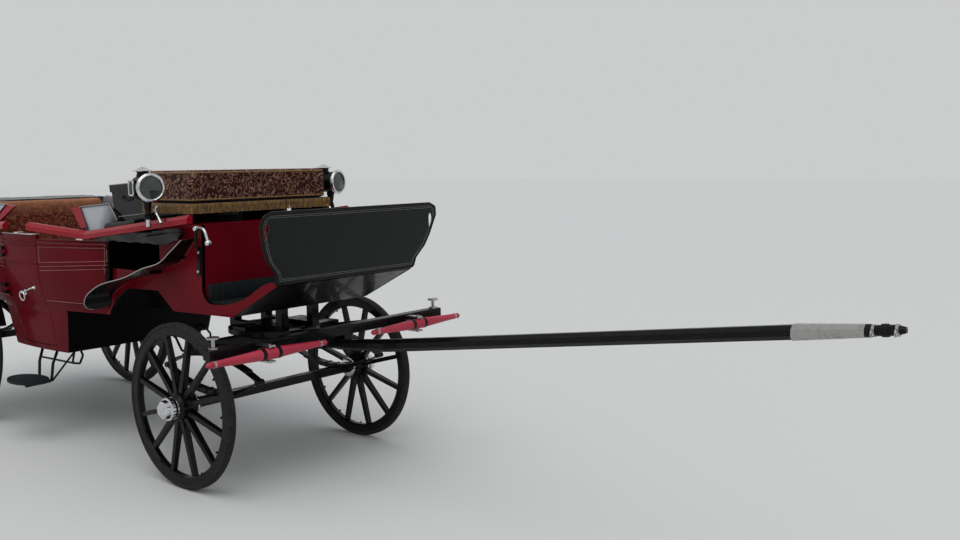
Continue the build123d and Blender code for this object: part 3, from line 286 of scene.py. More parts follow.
@dataclass(frozen=True)
class CoachPaintBlackParts(CoachPaint):
    """Red coach enamel, coloured black on the ends, the underside and the boot's hollow.

    The black parts are told from the red ones by planes, on the distance from the body's middle, the distance
    from the centre line and the height.
    """

    black: str = "060506"
    middle_x: float = 0.0
    end_half: float = 0.772
    end_slope: float = 0.1507
    well_half: float = 0.3285
    well_slope: float = 0.2482
    well_bottom: float = 0.5512
    quarter_bottom: float = 0.8245
    hollow_half_width: float = 0.0
    brush_edge: float = 0.0003

    def parted(self, surface: Surface, tone: Socket) -> Socket:
        """Return the red with its black parts.

        Args:
            surface: the material's nodes.
            tone: the red.

        Returns:
            The red with its black parts.
        """
        centred = surface.vector_sum("SUBTRACT", surface.place, (self.middle_x, 0.0, 0.0))
        parts = surface.parts(surface.vector_sum("ABSOLUTE", centred))
        lengthwise, sideways, height = parts["X"], parts["Y"], parts["Z"]

        def beyond(source: Socket, edge: float, way: int = 1) -> Socket:
            """Return one past an edge and zero before it."""
            return surface.span(source, edge - way * self.brush_edge, edge + way * self.brush_edge)

        def leaned(slope: float) -> Socket:
            """Return the lengthwise distance less a share of the height."""
            return surface.sum("MULTIPLY_ADD", height, -slope, lengthwise)

        end = beyond(leaned(self.end_slope), self.end_half - self.quarter_bottom * self.end_slope)
        low = beyond(height, self.quarter_bottom, -1)
        side = beyond(leaned(self.well_slope), self.well_half - self.well_bottom * self.well_slope)
        hollow = beyond(sideways, self.hollow_half_width, -1)
        mask = beyond(height, self.well_bottom, -1)
        for part in (end, surface.sum("MULTIPLY", low, side), hollow):
            mask = surface.sum("MAXIMUM", mask, part)
        # Black where the mask is one: the ends, the underside and the boot's hollow.
        return surface.blend(mask, tone, linear(self.black))


@dataclass(frozen=True)
class Enamel(Finish):
    """Stoved black enamel on forged iron and wheel timber: glossy, with road dust in the hollows."""

    dust: str = "161514"

    def pattern(self, surface: Surface) -> None:
        """Add dust and fine forging marks."""
        film = surface.noise(surface.place, 0.05, 5.0, 0.7)
        surface.tone(film, (0.45, self.colour), (0.85, self.dust))
        surface.dull(film, 0.3, 0.8, self.roughness, 0.3)
        surface.bump(surface.noise(surface.place, 0.012, 2.0), 0.0004, 0.5)


@dataclass(frozen=True)
class PatentLeather(Finish):
    """Hide lacquered many times: mirror-black, drawn into long soft waves over its frame."""

    wave: float = 0.006
    wave_size: float = 0.16
    grain_size: float = 0.004

    def pattern(self, surface: Surface) -> None:
        """Add the waves, the fine grain and a light haze."""
        wave = surface.noise(surface.place, self.wave_size, 2.0)
        grain = surface.node("TexVoronoi", {"Vector": surface.place, "Scale": 1 / self.grain_size}).outputs[0]
        surface.bump(surface.sum("MULTIPLY_ADD", grain, 0.03, wave), self.wave, 0.55)
        surface.dull(surface.noise(surface.place, 0.05, 5.0, 0.7), 0.35, 0.75, self.roughness, 0.18)


@dataclass(frozen=True)
class PaintedSkyPanel(Finish):
    """Glossy black covering strained over the head's leaning panel, with the sky's reflection painted in pale,
    fading to dark towards the front.
    """

    dark: str = "15161a"
    reflection_edge: float = 0.0
    fade: float = 0.13

    def pattern(self, surface: Surface) -> None:
        """Fade the painted sky reflection into the dark along X, with a cloudy edge."""
        cloud = surface.noise(surface.place, 0.12, 3.0)
        shifted = surface.sum("MULTIPLY_ADD", cloud, 0.12, surface.parts(surface.place)["X"])
        # The pale colour is a painted sky reflection; it fades into the covering's black further forward.
        shade = surface.span(shifted, self.reflection_edge, self.reflection_edge + self.fade)
        surface.tone(shade, (0.0, self.colour), (1.0, self.dark))
        surface.bump(cloud, 0.002, 0.4)


@dataclass(frozen=True)
class ScrollVelvet(Finish):
    """Cut velvet with a running scroll ground: dark pile with tan tendrils, in a plain traditional repeat."""

    figure: str = "8a5a44"
    faded: str = "6b3a2a"
    shade: str = "2a0f0d"
    repeat: float = 0.05
    contrast: float = 1.0
    top_colour: str | None = None
    upper_from: float = 1.40
    upper_to: float = 1.55

    def pattern(self, surface: Surface) -> None:
        """Add curling tendrils, a blotched ground, short pile and a lighter upper edge."""
        place, repeat = surface.place, self.repeat
        bend = surface.node("TexNoise", {"Vector": place, "Scale": 1.3 / repeat, "Detail": 1.0})
        shifted = surface.vector_sum("MULTIPLY_ADD", bend.outputs["Color"], (repeat,) * 3, place)
        cells = surface.node("TexVoronoi", {"Vector": shifted, "Scale": 1 / repeat}, feature="SMOOTH_F1")
        rings = surface.sum("MULTIPLY", cells.outputs["Distance"], 22.0)
        tendril = surface.span(surface.sum("SINE", rings), 0.1, 0.8, 0.0, self.contrast)
        ground = surface.ramp(surface.noise(place, repeat * 0.4), (0.35, self.shade), (0.65, self.colour))
        gold = surface.ramp(surface.noise(place, repeat * 0.7, 2.0), (0.35, self.figure), (0.7, self.faded))
        mixed = surface.blend(tendril, ground, gold)
        # Lighter towards the top, from about 1.4 m up.
        if self.top_colour is not None:
            edge = surface.sum("MULTIPLY_ADD", surface.noise(place, 0.12), 0.09, surface.parts(place)["Z"])
            top = surface.span(edge, self.upper_from, self.upper_to, 0.0, 0.85)
            mixed = surface.blend(top, mixed, linear(self.top_colour))
        surface.feed("Base Color", mixed)
        pile = surface.sum("MULTIPLY_ADD", surface.noise(place, 0.0022, 2.0), 0.35, tendril)
        surface.bump(pile, 0.0016, 0.8)
        surface.inputs["Sheen Weight"].default_value = 0.15
        surface.inputs["Sheen Roughness"].default_value = 0.4


@dataclass(frozen=True)
class SpunThread(Finish):
    """Twisted silk thread and braid: dull old gold with darker cores."""

    dark: str = "4a2d10"

    def pattern(self, surface: Surface) -> None:
        """Shade the thread strand by strand."""
        stretch = surface.node("Mapping", {"Vector": surface.place, "Scale": (1.0, 1.0, 0.12)}).outputs[0]
        strand = surface.noise(stretch, 0.006, 3.0, 0.7)
        surface.tone(strand, (0.35, self.dark), (0.62, self.colour))
        surface.bump(strand, 0.0015)
        surface.inputs["Sheen Weight"].default_value = 0.2


@dataclass(frozen=True)
class Plated(Finish):
    """Nickel or chrome plate, or bright steel: clear reflections with fine handling marks."""

    haze: float = 0.1
    smut: str = "6d6c6a"

    def pattern(self, surface: Surface) -> None:
        """Add a light haze and handling marks."""
        film = surface.noise(surface.place, 0.025, 5.0, 0.7)
        surface.dull(film, 0.35, 0.75, self.roughness, self.haze)
        surface.tone(film, (0.5, self.colour), (0.95, self.smut))


@dataclass(frozen=True)
class Rubber(Finish):
    """Moulded black rubber, greyed by road dust where it wears."""

    dust: str = "6f6c69"
    ribs: float = 0.0

    def pattern(self, surface: Surface) -> None:
        """Add dust, and moulded ribs along X where it has any, else a fine skin."""
        film = surface.noise(surface.place, 0.03, 7.0, 0.75)
        surface.tone(film, (0.3, self.colour), (0.7, self.dust))
        if self.ribs:
            lines = surface.node("TexWave", {"Vector": surface.place, "Scale": 1 / (20 * self.ribs)},
                                 bands_direction="Y")
            surface.bump(lines.outputs["Fac"], 0.002)
        else:
            surface.bump(surface.noise(surface.place, 0.006, 4.0), 0.0006, 0.6)


@dataclass(frozen=True)
class Timber(Finish):
    """Planed and oiled ash: pale growth lines under a thin brown stain."""

    line: str = "3a2116"

    def pattern(self, surface: Surface) -> None:
        """Lay the grain along Y."""
        stretch = surface.node("Mapping", {"Vector": surface.place, "Scale": (1.0, 0.06, 1.0)}).outputs[0]
        grain = surface.noise(stretch, 0.012, 4.0, 0.6)
        surface.tone(grain, (0.4, self.line), (0.62, self.colour))
        surface.bump(grain, 0.0005)


@dataclass(frozen=True)
class LampGlass(Finish):
    """Ground and polished plate glass, smoked by the lamp."""

    def pattern(self, surface: Surface) -> None:
        """Let the light through."""
        surface.inputs["Transmission Weight"].default_value = 1.0


class Finishes:
    """Every finish of the carriage, built once."""

    def __init__(self, middle_x: float) -> None:
        """Build the materials.

        Args:
            middle_x: where the body's middle stands, for its black parts.
        """
        paint = {"roughness": 0.34, "coat": 0.1, "specular": 0.03}
        red = {"colour": "5c0713", "worn": "6c0d1b", **paint}
        self.carmine = CoachPaint("carmine coach enamel", **red).build()
        self.black_parted = CoachPaintBlackParts("carmine and black coach enamel", middle_x=middle_x, **red).build()
        self.boot = CoachPaintBlackParts("carmine coach enamel, boot", "690815", worn="780e1c", middle_x=middle_x,
                                 end_half=9.0, hollow_half_width=0.4765, **paint).build()
        self.rail_red = CoachPaint("vermilion coach enamel", "8c0a1c", 0.3, coat=0.22, worn="981526",
                                   specular=0.08).build()
        self.trace_red = CoachPaint("faded red enamel", "a3243a", 0.42, coat=0.2, coat_roughness=0.2,
                                    worn="b63c4f", ripple=0.0003, specular=0.2).build()
        # Pale lines on the body's mouldings: painted highlights.
        self.moulding_highlight = Finish("pale fine-line paint", "a8837a", 0.45).build()
        self.black = Enamel("black stoving enamel", "060607", 0.24, coat=0.16, specular=0.1).build()
        self.patent = PatentLeather("patent leather", "070708", 0.18, coat=0.25, specular=0.12).build()
        self.fender = PatentLeather("fender leather", "060607", 0.2, coat=0.2, specular=0.1,
                                    wave=0.0012).build()
        # Painted sky reflection on the head panels: pale grey, fading to black towards the front.
        self.panel = PaintedSkyPanel("taut grey lining", "9fa3aa", 0.22, coat=0.3,
                                reflection_edge=middle_x + 0.80).build()
        self.dash = PatentLeather("dash leather", "0a100f", 0.34, coat=0.05, wave=0.004, wave_size=0.09,
                                  specular=0.2).build()
        self.strap = PatentLeather("harness leather", "120e0b", 0.5, wave=0.002, wave_size=0.03,
                                   specular=0.2).build()
        # Real edge beads, and also the pale lines that paint highlights on the dash's iron and the head panels'
        # top edges.
        self.edging_and_highlight = Finish("white-grey edge binding", "9b9996", 0.5).build()
        self.velvet = ScrollVelvet("cut scroll velvet", "3a1511", 0.9, figure="96705c", faded="6e4534",
                                   repeat=0.03, specular=0.15).build()
        self.cabin_velvet = ScrollVelvet("cut scroll velvet, tan", "6b2d20", 0.9, figure="9a6248",
                                         faded="80482f", shade="4c1c16", contrast=0.6, top_colour="b57f5e",
                                         specular=0.15).build()
        self.piping = SpunThread("light silk piping", "c08a66", 0.7, dark="8a5036").build()
        self.thread = SpunThread("old gold silk thread", "9a7434", 0.75, dark="3c2610").build()
        self.chrome = Plated("chrome plate", "d6d7da", 0.06, 1.0).build()
        self.steel = Plated("bright rolled steel", "a9a8a6", 0.24, 1.0, haze=0.16, smut="55534f").build()
        self.silvered = Plated("silvered reflector", "5a5b52", 0.22, 1.0, haze=0.2, smut="0f0f0b").build()
        self.tyre = Rubber("solid rubber tyre", "121213", 0.85, dust="333231", specular=0.2).build()
        self.mat = Rubber("ribbed rubber matting", "0c1212", 0.6, dust="1d2426", ribs=0.006,
                          specular=0.2).build()
        self.ash = Timber("stained ash", "5b3420", 0.45).build()
        self.glass = LampGlass("lamp plate glass", "8a908b", 0.02, ior=1.5).build()
        self.porcelain = Finish("burner porcelain", "e8e2d2", 0.4).build()
        self.floor = Finish("pale studio floor", "cfcecd", 1.0, specular=0.0).build()


# Modelling helpers


def clear_selection() -> None:
    """Leave edit mode and deselect everything."""
    if bpy.context.object and bpy.context.object.mode != "OBJECT":
        bpy.ops.object.mode_set(mode="OBJECT")
    bpy.ops.object.select_all(action="DESELECT")


def take(name: str) -> Piece:
    """Name the object that was just added."""
    piece = bpy.context.object
    piece.name = name
    piece.data.name = name
    return piece


def activate(piece: Piece) -> None:
    """Make one object the only selected and the active one."""
    clear_selection()
    piece.select_set(True)
    bpy.context.view_layer.objects.active = piece


def linked(name: str, data: bpy.types.ID) -> Piece:
    """Return a new object that holds the data, linked to the scene."""
    thing = bpy.data.objects.new(name, data)
    bpy.context.collection.objects.link(thing)
    return thing


def apply_place() -> None:
    """Move the selected object's place, turn and scale into its mesh."""
    bpy.ops.object.transform_apply(location=True, rotation=True, scale=True)


@contextmanager
def editing() -> Iterator[None]:
    """Open the active mesh for editing with everything selected, and close it afterwards."""
    bpy.ops.object.mode_set(mode="EDIT")
    bpy.ops.mesh.select_all(action="SELECT")
    yield
    bpy.ops.object.mode_set(mode="OBJECT")


def face_outwards() -> None:
    """Turn every face of the mesh in edit mode outwards."""
    bpy.ops.mesh.select_all(action="SELECT")
    bpy.ops.mesh.normals_make_consistent(inside=False)


def settle(piece: Piece, smooth: float = SMOOTH_ANGLE) -> Piece:
    """Move a piece's place into its mesh, apply its modifiers and shade it.

    Args:
        piece: the mesh object.
        smooth: edges sharper than this many degrees stay sharp.

    Returns:
        The same object, at the origin.
    """
    activate(piece)
    apply_place()
    for modifier in list(piece.modifiers):
        bpy.ops.object.modifier_apply(modifier=modifier.name)
    bpy.ops.object.shade_smooth_by_angle(angle=math.radians(smooth))
    clear_selection()
    return piece


def soften(piece: Piece, width: float) -> None:
    """Round a piece's edges with a bevel."""
    bevel = piece.modifiers.new("Bevel", "BEVEL")
    bevel.width = width
    bevel.segments = 2
    bevel.limit_method = "ANGLE"
    bevel.angle_limit = math.radians(BEVEL_ANGLE)


def subdivide(piece: Piece, smooth: float) -> None:
    """Divide a piece's faces once into a smoother surface and settle it."""
    level = piece.modifiers.new("Subdivision", "SUBSURF")
    level.levels = 1
    level.render_levels = 1
    settle(piece, smooth)


def remesh(piece: Piece, voxel: float, repeat: int, shrink: float = 0.0) -> None:
    """Give a closed piece an even mesh and ease it.

    Args:
        piece: the mesh object.
        voxel: the size of its new faces.
        repeat: how often it is eased.
        shrink: how far its faces are drawn in first.
    """
    activate(piece)
    piece.data.remesh_voxel_size = voxel
    bpy.ops.object.voxel_remesh()
    with editing():
        if shrink:
            bpy.ops.transform.shrink_fatten(value=-shrink)
        bpy.ops.mesh.vertices_smooth(factor=0.5, repeat=repeat)


def select_faces(piece: Piece, test: Callable[[Vector, Vector], bool]) -> None:
    """In edit mode, select only the faces that pass a test, which takes a face's centre and normal."""
    bpy.ops.mesh.select_mode(type="FACE")
    mesh = bmesh.from_edit_mesh(piece.data)
    mesh.normal_update()
    for face in mesh.faces:
        face.select_set(test(face.calc_center_median(), face.normal))
    bmesh.update_edit_mesh(piece.data)


def turned(name: str, stations: Sequence[Flat], base: Point, direction: Point,
           segments: int = 40) -> Piece:
    """Turn a solid: a disc grown ring by ring along an axis.

    Args:
        name: the piece's name.
        stations: distance along the axis and radius of each ring, in order.
        base: the point from which distances count.
        direction: the axis.
        segments: corners of each ring.

    Returns:
        A closed, settled mesh object.
    """
    axis = Vector(direction).normalized()
    start = Vector(base)
    clear_selection()
    bpy.ops.mesh.primitive_circle_add(vertices=segments, radius=stations[0][1], fill_type="NGON",
                                      location=start + axis * stations[0][0],
                                      rotation=axis.to_track_quat("Z", "Y").to_euler())
    piece = take(name)
    apply_place()
    with editing():
        for (low, before), (high, after) in zip(stations, stations[1:]):
            bpy.ops.mesh.extrude_region_move(TRANSFORM_OT_translate={"value": axis * (high - low)})
            share = after / before
            bpy.ops.transform.resize(value=(share, share, share), center_override=start + axis * high)
        face_outwards()
    return settle(piece)


def bar(name: str, route: Sequence[Point], radius: float, closed: bool = False, bends: bool = True,
        sides: int = 4, steps: int = 8, settled: bool = True) -> Piece:
    """Bend a round bar along a route.

    Args:
        name: the piece's name.
        route: the points it passes.
        radius: half its thickness.
        closed: whether it is a ring.
        bends: whether it runs in smooth curves between the points.
        sides: roundness of its section.
        steps: divisions between two points.
        settled: whether it is finished here, and not copied first.

    Returns:
        A mesh object.
    """
    curve = bpy.data.curves.new(name, "CURVE")
    curve.dimensions = "3D"
    curve.bevel_depth = radius
    curve.bevel_resolution = sides
    curve.resolution_u = steps
    curve.use_fill_caps = True
    spline = curve.splines.new("BEZIER" if bends else "POLY")
    points = spline.bezier_points if bends else spline.points
    points.add(len(route) - 1)
    for point, place in zip(points, route):
        if bends:
            point.co = place
            point.handle_left_type = "AUTO"
            point.handle_right_type = "AUTO"
        else:
            point.co = (*place, 1.0)
    spline.use_cyclic_u = closed
    activate(linked(name, curve))
    bpy.ops.object.convert(target="MESH")
    piece = take(name)
    return settle(piece) if settled else piece


def block(name: str, low: Point, high: Point, width: float, settled: bool = True) -> Piece:
    """Cut a block between two corners, with edges eased by a width, and settle it where asked."""
    clear_selection()
    centre = (Vector(low) + Vector(high)) / 2
    bpy.ops.mesh.primitive_cube_add(size=1.0, location=centre, scale=Vector(high) - Vector(low))
    piece = take(name)
    apply_place()
    soften(piece, width)
    return settle(piece) if settled else piece


def join(name: str, parts: Sequence[Piece]) -> Piece:
    """Join objects into one piece."""
    clear_selection()
    for part in parts:
        part.select_set(True)
    bpy.context.view_layer.objects.active = parts[0]
    if len(parts) > 1:
        bpy.ops.object.join()
    return take(name)


def moved_copy(piece: Piece, name: str, move: Matrix) -> Piece:
    """Return a copy of a piece, moved inside its mesh."""
    twin = linked(name, piece.data.copy())
    twin.data.transform(move)
    return twin


def reflected(piece: Piece, name: str, way: Point, plane: float = 0.0) -> Piece:
    """Return a copy of a finished piece, reflected in a plane.

    Args:
        piece: the piece to copy.
        name: the copy's name.
        way: the plane's unit normal.
        plane: the plane's distance from the origin along it.

    Returns:
        The copy, with its faces outwards.
    """
    move = Matrix.Translation(Vector(way) * 2 * plane) @ Matrix.Scale(-1.0, 4, Vector(way))
    twin = moved_copy(piece, name, move)
    twin.data.flip_normals()
    return twin


def pair(name: str, parts: Sequence[Piece]) -> Piece:
    """Join pieces of the right side with their reflections on the left.

    Args:
        name: the joined piece's name.
        parts: finished pieces of the right side.

    Returns:
        One mesh object.
    """
    one = join(name, parts)
    return join(name, [one, reflected(one, name + "_left", LEFTWARDS)])


def around(count: int) -> list[float]:
    """Return the angles of a ring's points, at even steps."""
    return [math.tau * i / count for i in range(count)]


def limits(piece: Piece) -> tuple[Vector, Vector]:
    """Return the lowest and highest corner of a mesh."""
    places = [vertex.co for vertex in piece.data.vertices]
    low = Vector([min(place[axis] for place in places) for axis in range(3)])
    high = Vector([max(place[axis] for place in places) for axis in range(3)])
    return low, high


def dress(piece: Piece, material: Material, slot: str,
          body: Body | str = Body.COACH) -> Piece:
    """Give a finished piece its only material and its body.

    Args:
        piece: the finished mesh object.
        material: its finish.
        slot: the record's material slot; not used.
        body: what it moves with.

    Returns:
        The same object.
    """
    piece.data.materials.clear()
    piece.data.materials.append(material)
    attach(piece, body.value if isinstance(body, Body) else body)
    LOG.info("%s: %d faces", piece.name, len(piece.data.polygons))
    return piece


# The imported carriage


@dataclass
class Coach:
    """What every sub-assembly is given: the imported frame, the finishes and where the rear axle stands."""

    frame: dict
    finishes: Finishes
    rear_axle_x: float

    def at(self, x: float, y: float, z: float) -> Point:
        """Return the place of a point that is given in millimetres from the rear axle."""
        return (self.rear_axle_x + x * MM, y * MM, z * MM)

    def mesh(self, node: str) -> bpy.types.Mesh:
        """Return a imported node's mesh."""
        return self.frame["nodes"][node].data

    def paint(self, material: Material, *nodes: str) -> None:
        """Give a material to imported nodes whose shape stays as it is."""
        for name in nodes:
            for slot in self.frame["nodes"][name].material_slots:
                slot.material = material

    def copy_node(self, node: str, name: str) -> Piece:
        """Return a clean, joined-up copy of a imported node's mesh, with no parent, to work on."""
        activate(linked(name, self.mesh(node).copy()))
        with editing():
            bpy.ops.mesh.remove_doubles(threshold=SAME_PLACE)
            face_outwards()
        return take(name)

    def cover(self, node: str) -> BVHTree:
        """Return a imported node's surface, to find places on it."""
        mesh = self.mesh(node)
        return BVHTree.FromPolygons([v.co for v in mesh.vertices], [face.vertices for face in mesh.polygons])

    def paint_nodes(self) -> None:
        """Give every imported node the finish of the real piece."""
        looks = self.finishes
        corners = [f"{end}_{side}" for end in ENDS for side in SIDES]
        self.paint(looks.carmine, "seat_box", *(f"door_{side}" for side in SIDES))
        self.paint(looks.black_parted, "body_shell")
        self.paint(looks.boot, "boot")
        self.paint(looks.rail_red, *(f"head_rails_{end}" for end in ENDS))
        self.paint(looks.trace_red, *(f"swingletree_{side}" for side in SIDES))
        self.paint(looks.black, "door_hinge_irons", "box_seat_frame", "dash_iron", "lamp_irons", "step_irons",
                   "toe_board", "hand_brake", "rear_body_irons", "futchells", "splinter_bar", "pole",
                   "pole_head", "turntable_upper", "turntable_lower", *(f"axle_{end}" for end in ENDS),
                   *(f"springs_{end}" for end in ENDS), *(f"wheel_{corner}" for corner in corners))
        self.paint(looks.patent, "locker", *(f"head_leather_{end}" for end in ENDS))
        self.paint(looks.fender, *(f"fenders_{end}" for end in ENDS))
        self.paint(looks.dash, "dash_leather")
        self.paint(looks.velvet, "box_cushion", *(f"seat_{part}_{end}" for part in ("cushion", "back")
                                                  for end in ENDS))
        self.paint(looks.thread, "seat_fall")
        self.paint(looks.chrome, *(f"door_handle_{side}" for side in SIDES),
                   *(f"hub_cap_{corner}" for corner in corners))
        self.paint(looks.steel, "draught_irons", "pole_sleeve")
        self.paint(looks.tyre, *(f"tyre_{corner}" for corner in corners))
        self.paint(looks.mat, "step_treads")
        self.paint(looks.ash, "benches")
        self.paint(looks.glass, "lamp_lenses")


@dataclass
class Assembly:
    """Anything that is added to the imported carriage. Lengths named in its parts say when they are metres."""

    coach: Coach

    @property
    def looks(self) -> Finishes:
        """The carriage's finishes."""
        return self.coach.finishes

    def add(self, name: str, parts: Sequence[Piece], material: Material, slot: str,
            stands_for: str = "") -> Piece:
        """Join pieces of the right side with their reflections and dress them for the body.

        Args:
            name: the joined piece's name.
            parts: finished pieces of the right side.
            material: its finish.
            slot: the record's material slot.
            stands_for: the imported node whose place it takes, if any.

        Returns:
            The dressed piece.
        """
        piece = pair(name, parts)
        if stands_for:
            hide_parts(stands_for)
        return dress(piece, material, slot)


# Soft goods


@dataclass(frozen=True)
class Stuffing:
    """How a cushion is filled: the pressure in it, the steps it is given and how far its cover may move."""

    pressure: float = 4.0
    steps: int = 20
    voxel: float = 0.009
    shrink: float = 0.007
    cap: float = 0.014
    fill: float = 0.75
    rounds: int = 5
    quick_share: float = 0.8

    def apply(self, piece: Piece) -> None:
        """Blow a closed mesh up into a stuffed cushion inside its own box.

        Args:
            piece: a closed mesh object; it keeps its name and gets a finer, softer mesh.
        """
        low, high = limits(piece)
        remesh(piece, self.voxel, self.rounds, self.shrink)
        start = [vertex.co.copy() for vertex in piece.data.vertices]
        for vertex, before, after in zip(piece.data.vertices, start, self.swollen(piece)):
            move = after - before
            if move.length > self.cap:
                move.length = self.cap
            place = before + move
            vertex.co = [min(max(place[axis], low[axis]), high[axis]) for axis in range(3)]
        subdivide(piece, ROUND_ANGLE)

    def swollen(self, piece: Piece) -> list[Vector]:
        """Return where each point of the cover ends up under the pressure."""
        scene = bpy.context.scene
        cloth = piece.modifiers.new("Cloth", "CLOTH")
        cloth.settings.use_pressure = True
        cloth.settings.uniform_pressure_force = self.pressure
        cloth.settings.effector_weights.gravity = 0.0
        for step in range(1, self.steps + 1):
            scene.frame_set(step)
        shaped = piece.evaluated_get(bpy.context.evaluated_depsgraph_get())
        places = [vertex.co.copy() for vertex in shaped.data.vertices]
        piece.modifiers.remove(cloth)
        scene.frame_set(1)
        return places


def welt(name: str, cushion: Piece, lines: Sequence[tuple[Vector, Vector]], radius: float,
         closed: bool = True) -> Piece:
    """Lay a corded welt on a cushion, where lines from outside first meet its cover.

    Args:
        name: the welt's name.
        cushion: the stuffed piece.
        lines: start outside the cushion and aim inside it of each line, in order along the welt.
        radius: half the cord's thickness.
        closed: whether the welt runs all the way round.

    Returns:
        A mesh tube.
    """
    bpy.context.view_layer.update()
    cover = BVHTree.FromObject(cushion, bpy.context.evaluated_depsgraph_get())
    route = []
    for start, aim in lines:
        place = cover.ray_cast(start, (aim - start).normalized())[0]
        if place is not None:
            route.append(tuple(place + (start - aim).normalized() * radius * WELT_PROUD))
    return bar(name, route, radius, closed=closed, sides=2, steps=3)


@dataclass
class Upholstery(Assembly):
    """The seats: stuffed cushions and backs, welted along their seams, and the driver's box cushion."""

    filling: Stuffing = Stuffing()
    welt_radius: float = 0.0042
    seam_drop: float = 0.014
    samples: int = 60
    clear_of_cover: float = 1.2
    crest_in: float = 0.012
    crest_drop: float = 0.09
    crest_width: float = 0.3
    crest_from: Point = (0.03, 0.4, 0.3)

    def build(self) -> None:
        """Make and dress every cushion."""
        looks = self.looks
        for end in ("rear", "front"):
            seat = self.stuffed(f"seat_cushion_{end}", f"cushion_{end}", looks.cabin_velvet)
            self.seam(seat, 0, limits(seat)[1].z - self.seam_drop, looks.piping, "seat_velvet")
            self.crest(self.stuffed(f"seat_back_{end}", f"squab_{end}", looks.cabin_velvet))
        box = self.stuffed("box_cushion", "driver_cushion", looks.velvet)
        low, high = limits(box)
        for number, level in enumerate((high.z - self.seam_drop, low.z + self.seam_drop)):
            self.seam(box, number, level, looks.thread, "bullion_fringe")

    def stuffed(self, node: str, name: str, material: Material) -> Piece:
        """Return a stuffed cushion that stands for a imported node."""
        piece = self.coach.copy_node(node, name)
        self.filling.apply(piece)
        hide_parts(node)
        return dress(piece, material, "seat_velvet")

    def seam(self, piece: Piece, number: int, level: float, material: Material,
             slot: str) -> None:
        """Run a welt round a cushion at a level."""
        low, high = limits(piece)
        middle = (low + high) / 2
        half = (high - low) / 2 * self.clear_of_cover
        lines = []
        for index in range(self.samples):
            share = 4.0 * index / self.samples
            edge, along = int(share), (share - int(share)) * 2.0 - 1.0
            x, y = [(along, -1.0), (1.0, along), (-along, 1.0), (-1.0, -along)][edge]
            lines.append([Vector((middle.x + x * half.x * reach, middle.y + y * half.y * reach, level))
                          for reach in (1.0, 0.5)])
        dress(welt(f"{piece.name}_welt_{number}", piece, lines, self.welt_radius), material, slot)

    def crest(self, piece: Piece) -> None:
        """Run a welt over a back's upper edge, from one side to the other."""
        low, high = limits(piece)
        middle = (low + high) / 2
        lean = 1.0 if middle.x < self.coach.at(BODY_MIDDLE, 0.0, 0.0)[0] else -1.0
        lines = []
        for index in range(self.samples + 1):
            turn = math.pi * index / self.samples
            y, z = -math.cos(turn), math.sin(turn)
            inside = Vector((middle.x - lean * self.crest_in, y * (high.y - low.y) * self.crest_width,
                             high.z - self.crest_drop))
            away = Vector((-lean * self.crest_from[0] * z, y * self.crest_from[1], z * self.crest_from[2]))
            lines.append((inside + away, inside))
        cord = welt(f"{piece.name}_welt", piece, lines, self.welt_radius, closed=False)
        dress(cord, self.looks.piping, "seat_velvet")


@dataclass
class SeatFall(Assembly):
    """The bullion fringe round the driver's seat, in metres: a corded braid with twisted strands below it."""

    braid_depth: float = 0.018
    braid_levels: tuple[float, ...] = (0.18, 0.5, 0.82)
    pitch: float = 0.0085
    strand_radius: float = 0.0031
    inset: float = 0.005
    sway: float = 0.05
    shortest: float = 0.93
    braid_bar: float = 0.19
    hang: tuple[Point, ...] = ((0.0, 0.0, 0.0), (0.0012, 0.0, 0.35), (-0.001, 0.001, 0.7), (0.0, 0.0, 0.97))
    turn: float = 6.2
    seed: int = 7

    def build(self) -> None:
        """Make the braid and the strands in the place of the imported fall."""
        low, high = (Vector(corner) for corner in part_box("seat_fall"))
        route = self.route(low, high)
        strands = self.strands(route, low.z, high.z - self.braid_depth)
        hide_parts("seat_fall")
        dress(strands, self.looks.thread, "bullion_fringe")
        levels = [high.z - self.braid_depth * share for share in self.braid_levels]
        rows = [bar("braid_row", [(x, y, level) for x, y in route[::4]], self.braid_depth * self.braid_bar,
                    closed=True, sides=1, steps=3) for level in levels]
        dress(join("seat_braid", rows), self.looks.thread, "bullion_fringe")

    def route(self, low: Vector, high: Vector) -> list[Flat]:
        """Return the places of the strands round the seat, at even steps."""
        inset = self.inset
        corners = [(low.x + inset, low.y + inset), (high.x - inset, low.y + inset),
                   (high.x - inset, high.y - inset), (low.x + inset, high.y - inset)]
        places = []
        for (x0, y0), (x1, y1) in zip(corners, corners[1:] + corners[:1]):
            count = round(math.hypot(x1 - x0, y1 - y0) / self.pitch)
            places += [(x0 + (x1 - x0) * i / count, y0 + (y1 - y0) * i / count) for i in range(count)]
        return places

    def strands(self, route: Sequence[Flat], low: float, high: float) -> Piece:
        """Hang one copied strand at each place, each a little turned and swayed."""
        drop = high - low
        route_down = [(x, y, -drop * share) for x, y, share in self.hang]
        pattern = bar("strand", route_down, self.strand_radius, sides=1, steps=2, settled=False)
        chance = random.Random(self.seed)
        copies = []
        for x, y in route:
            sway = (chance.uniform(-self.sway, self.sway), chance.uniform(-self.sway, self.sway),
                    chance.uniform(0.0, self.turn))
            scale = Matrix.Diagonal((1.0, 1.0, chance.uniform(self.shortest, 1.0), 1.0))
            move = Matrix.Translation((x, y, high)) @ Euler(sway).to_matrix().to_4x4() @ scale
            copies.append(moved_copy(pattern, "strand", move))
        bpy.data.objects.remove(pattern)
        return settle(join("seat_fringe", copies), ROUND_ANGLE)


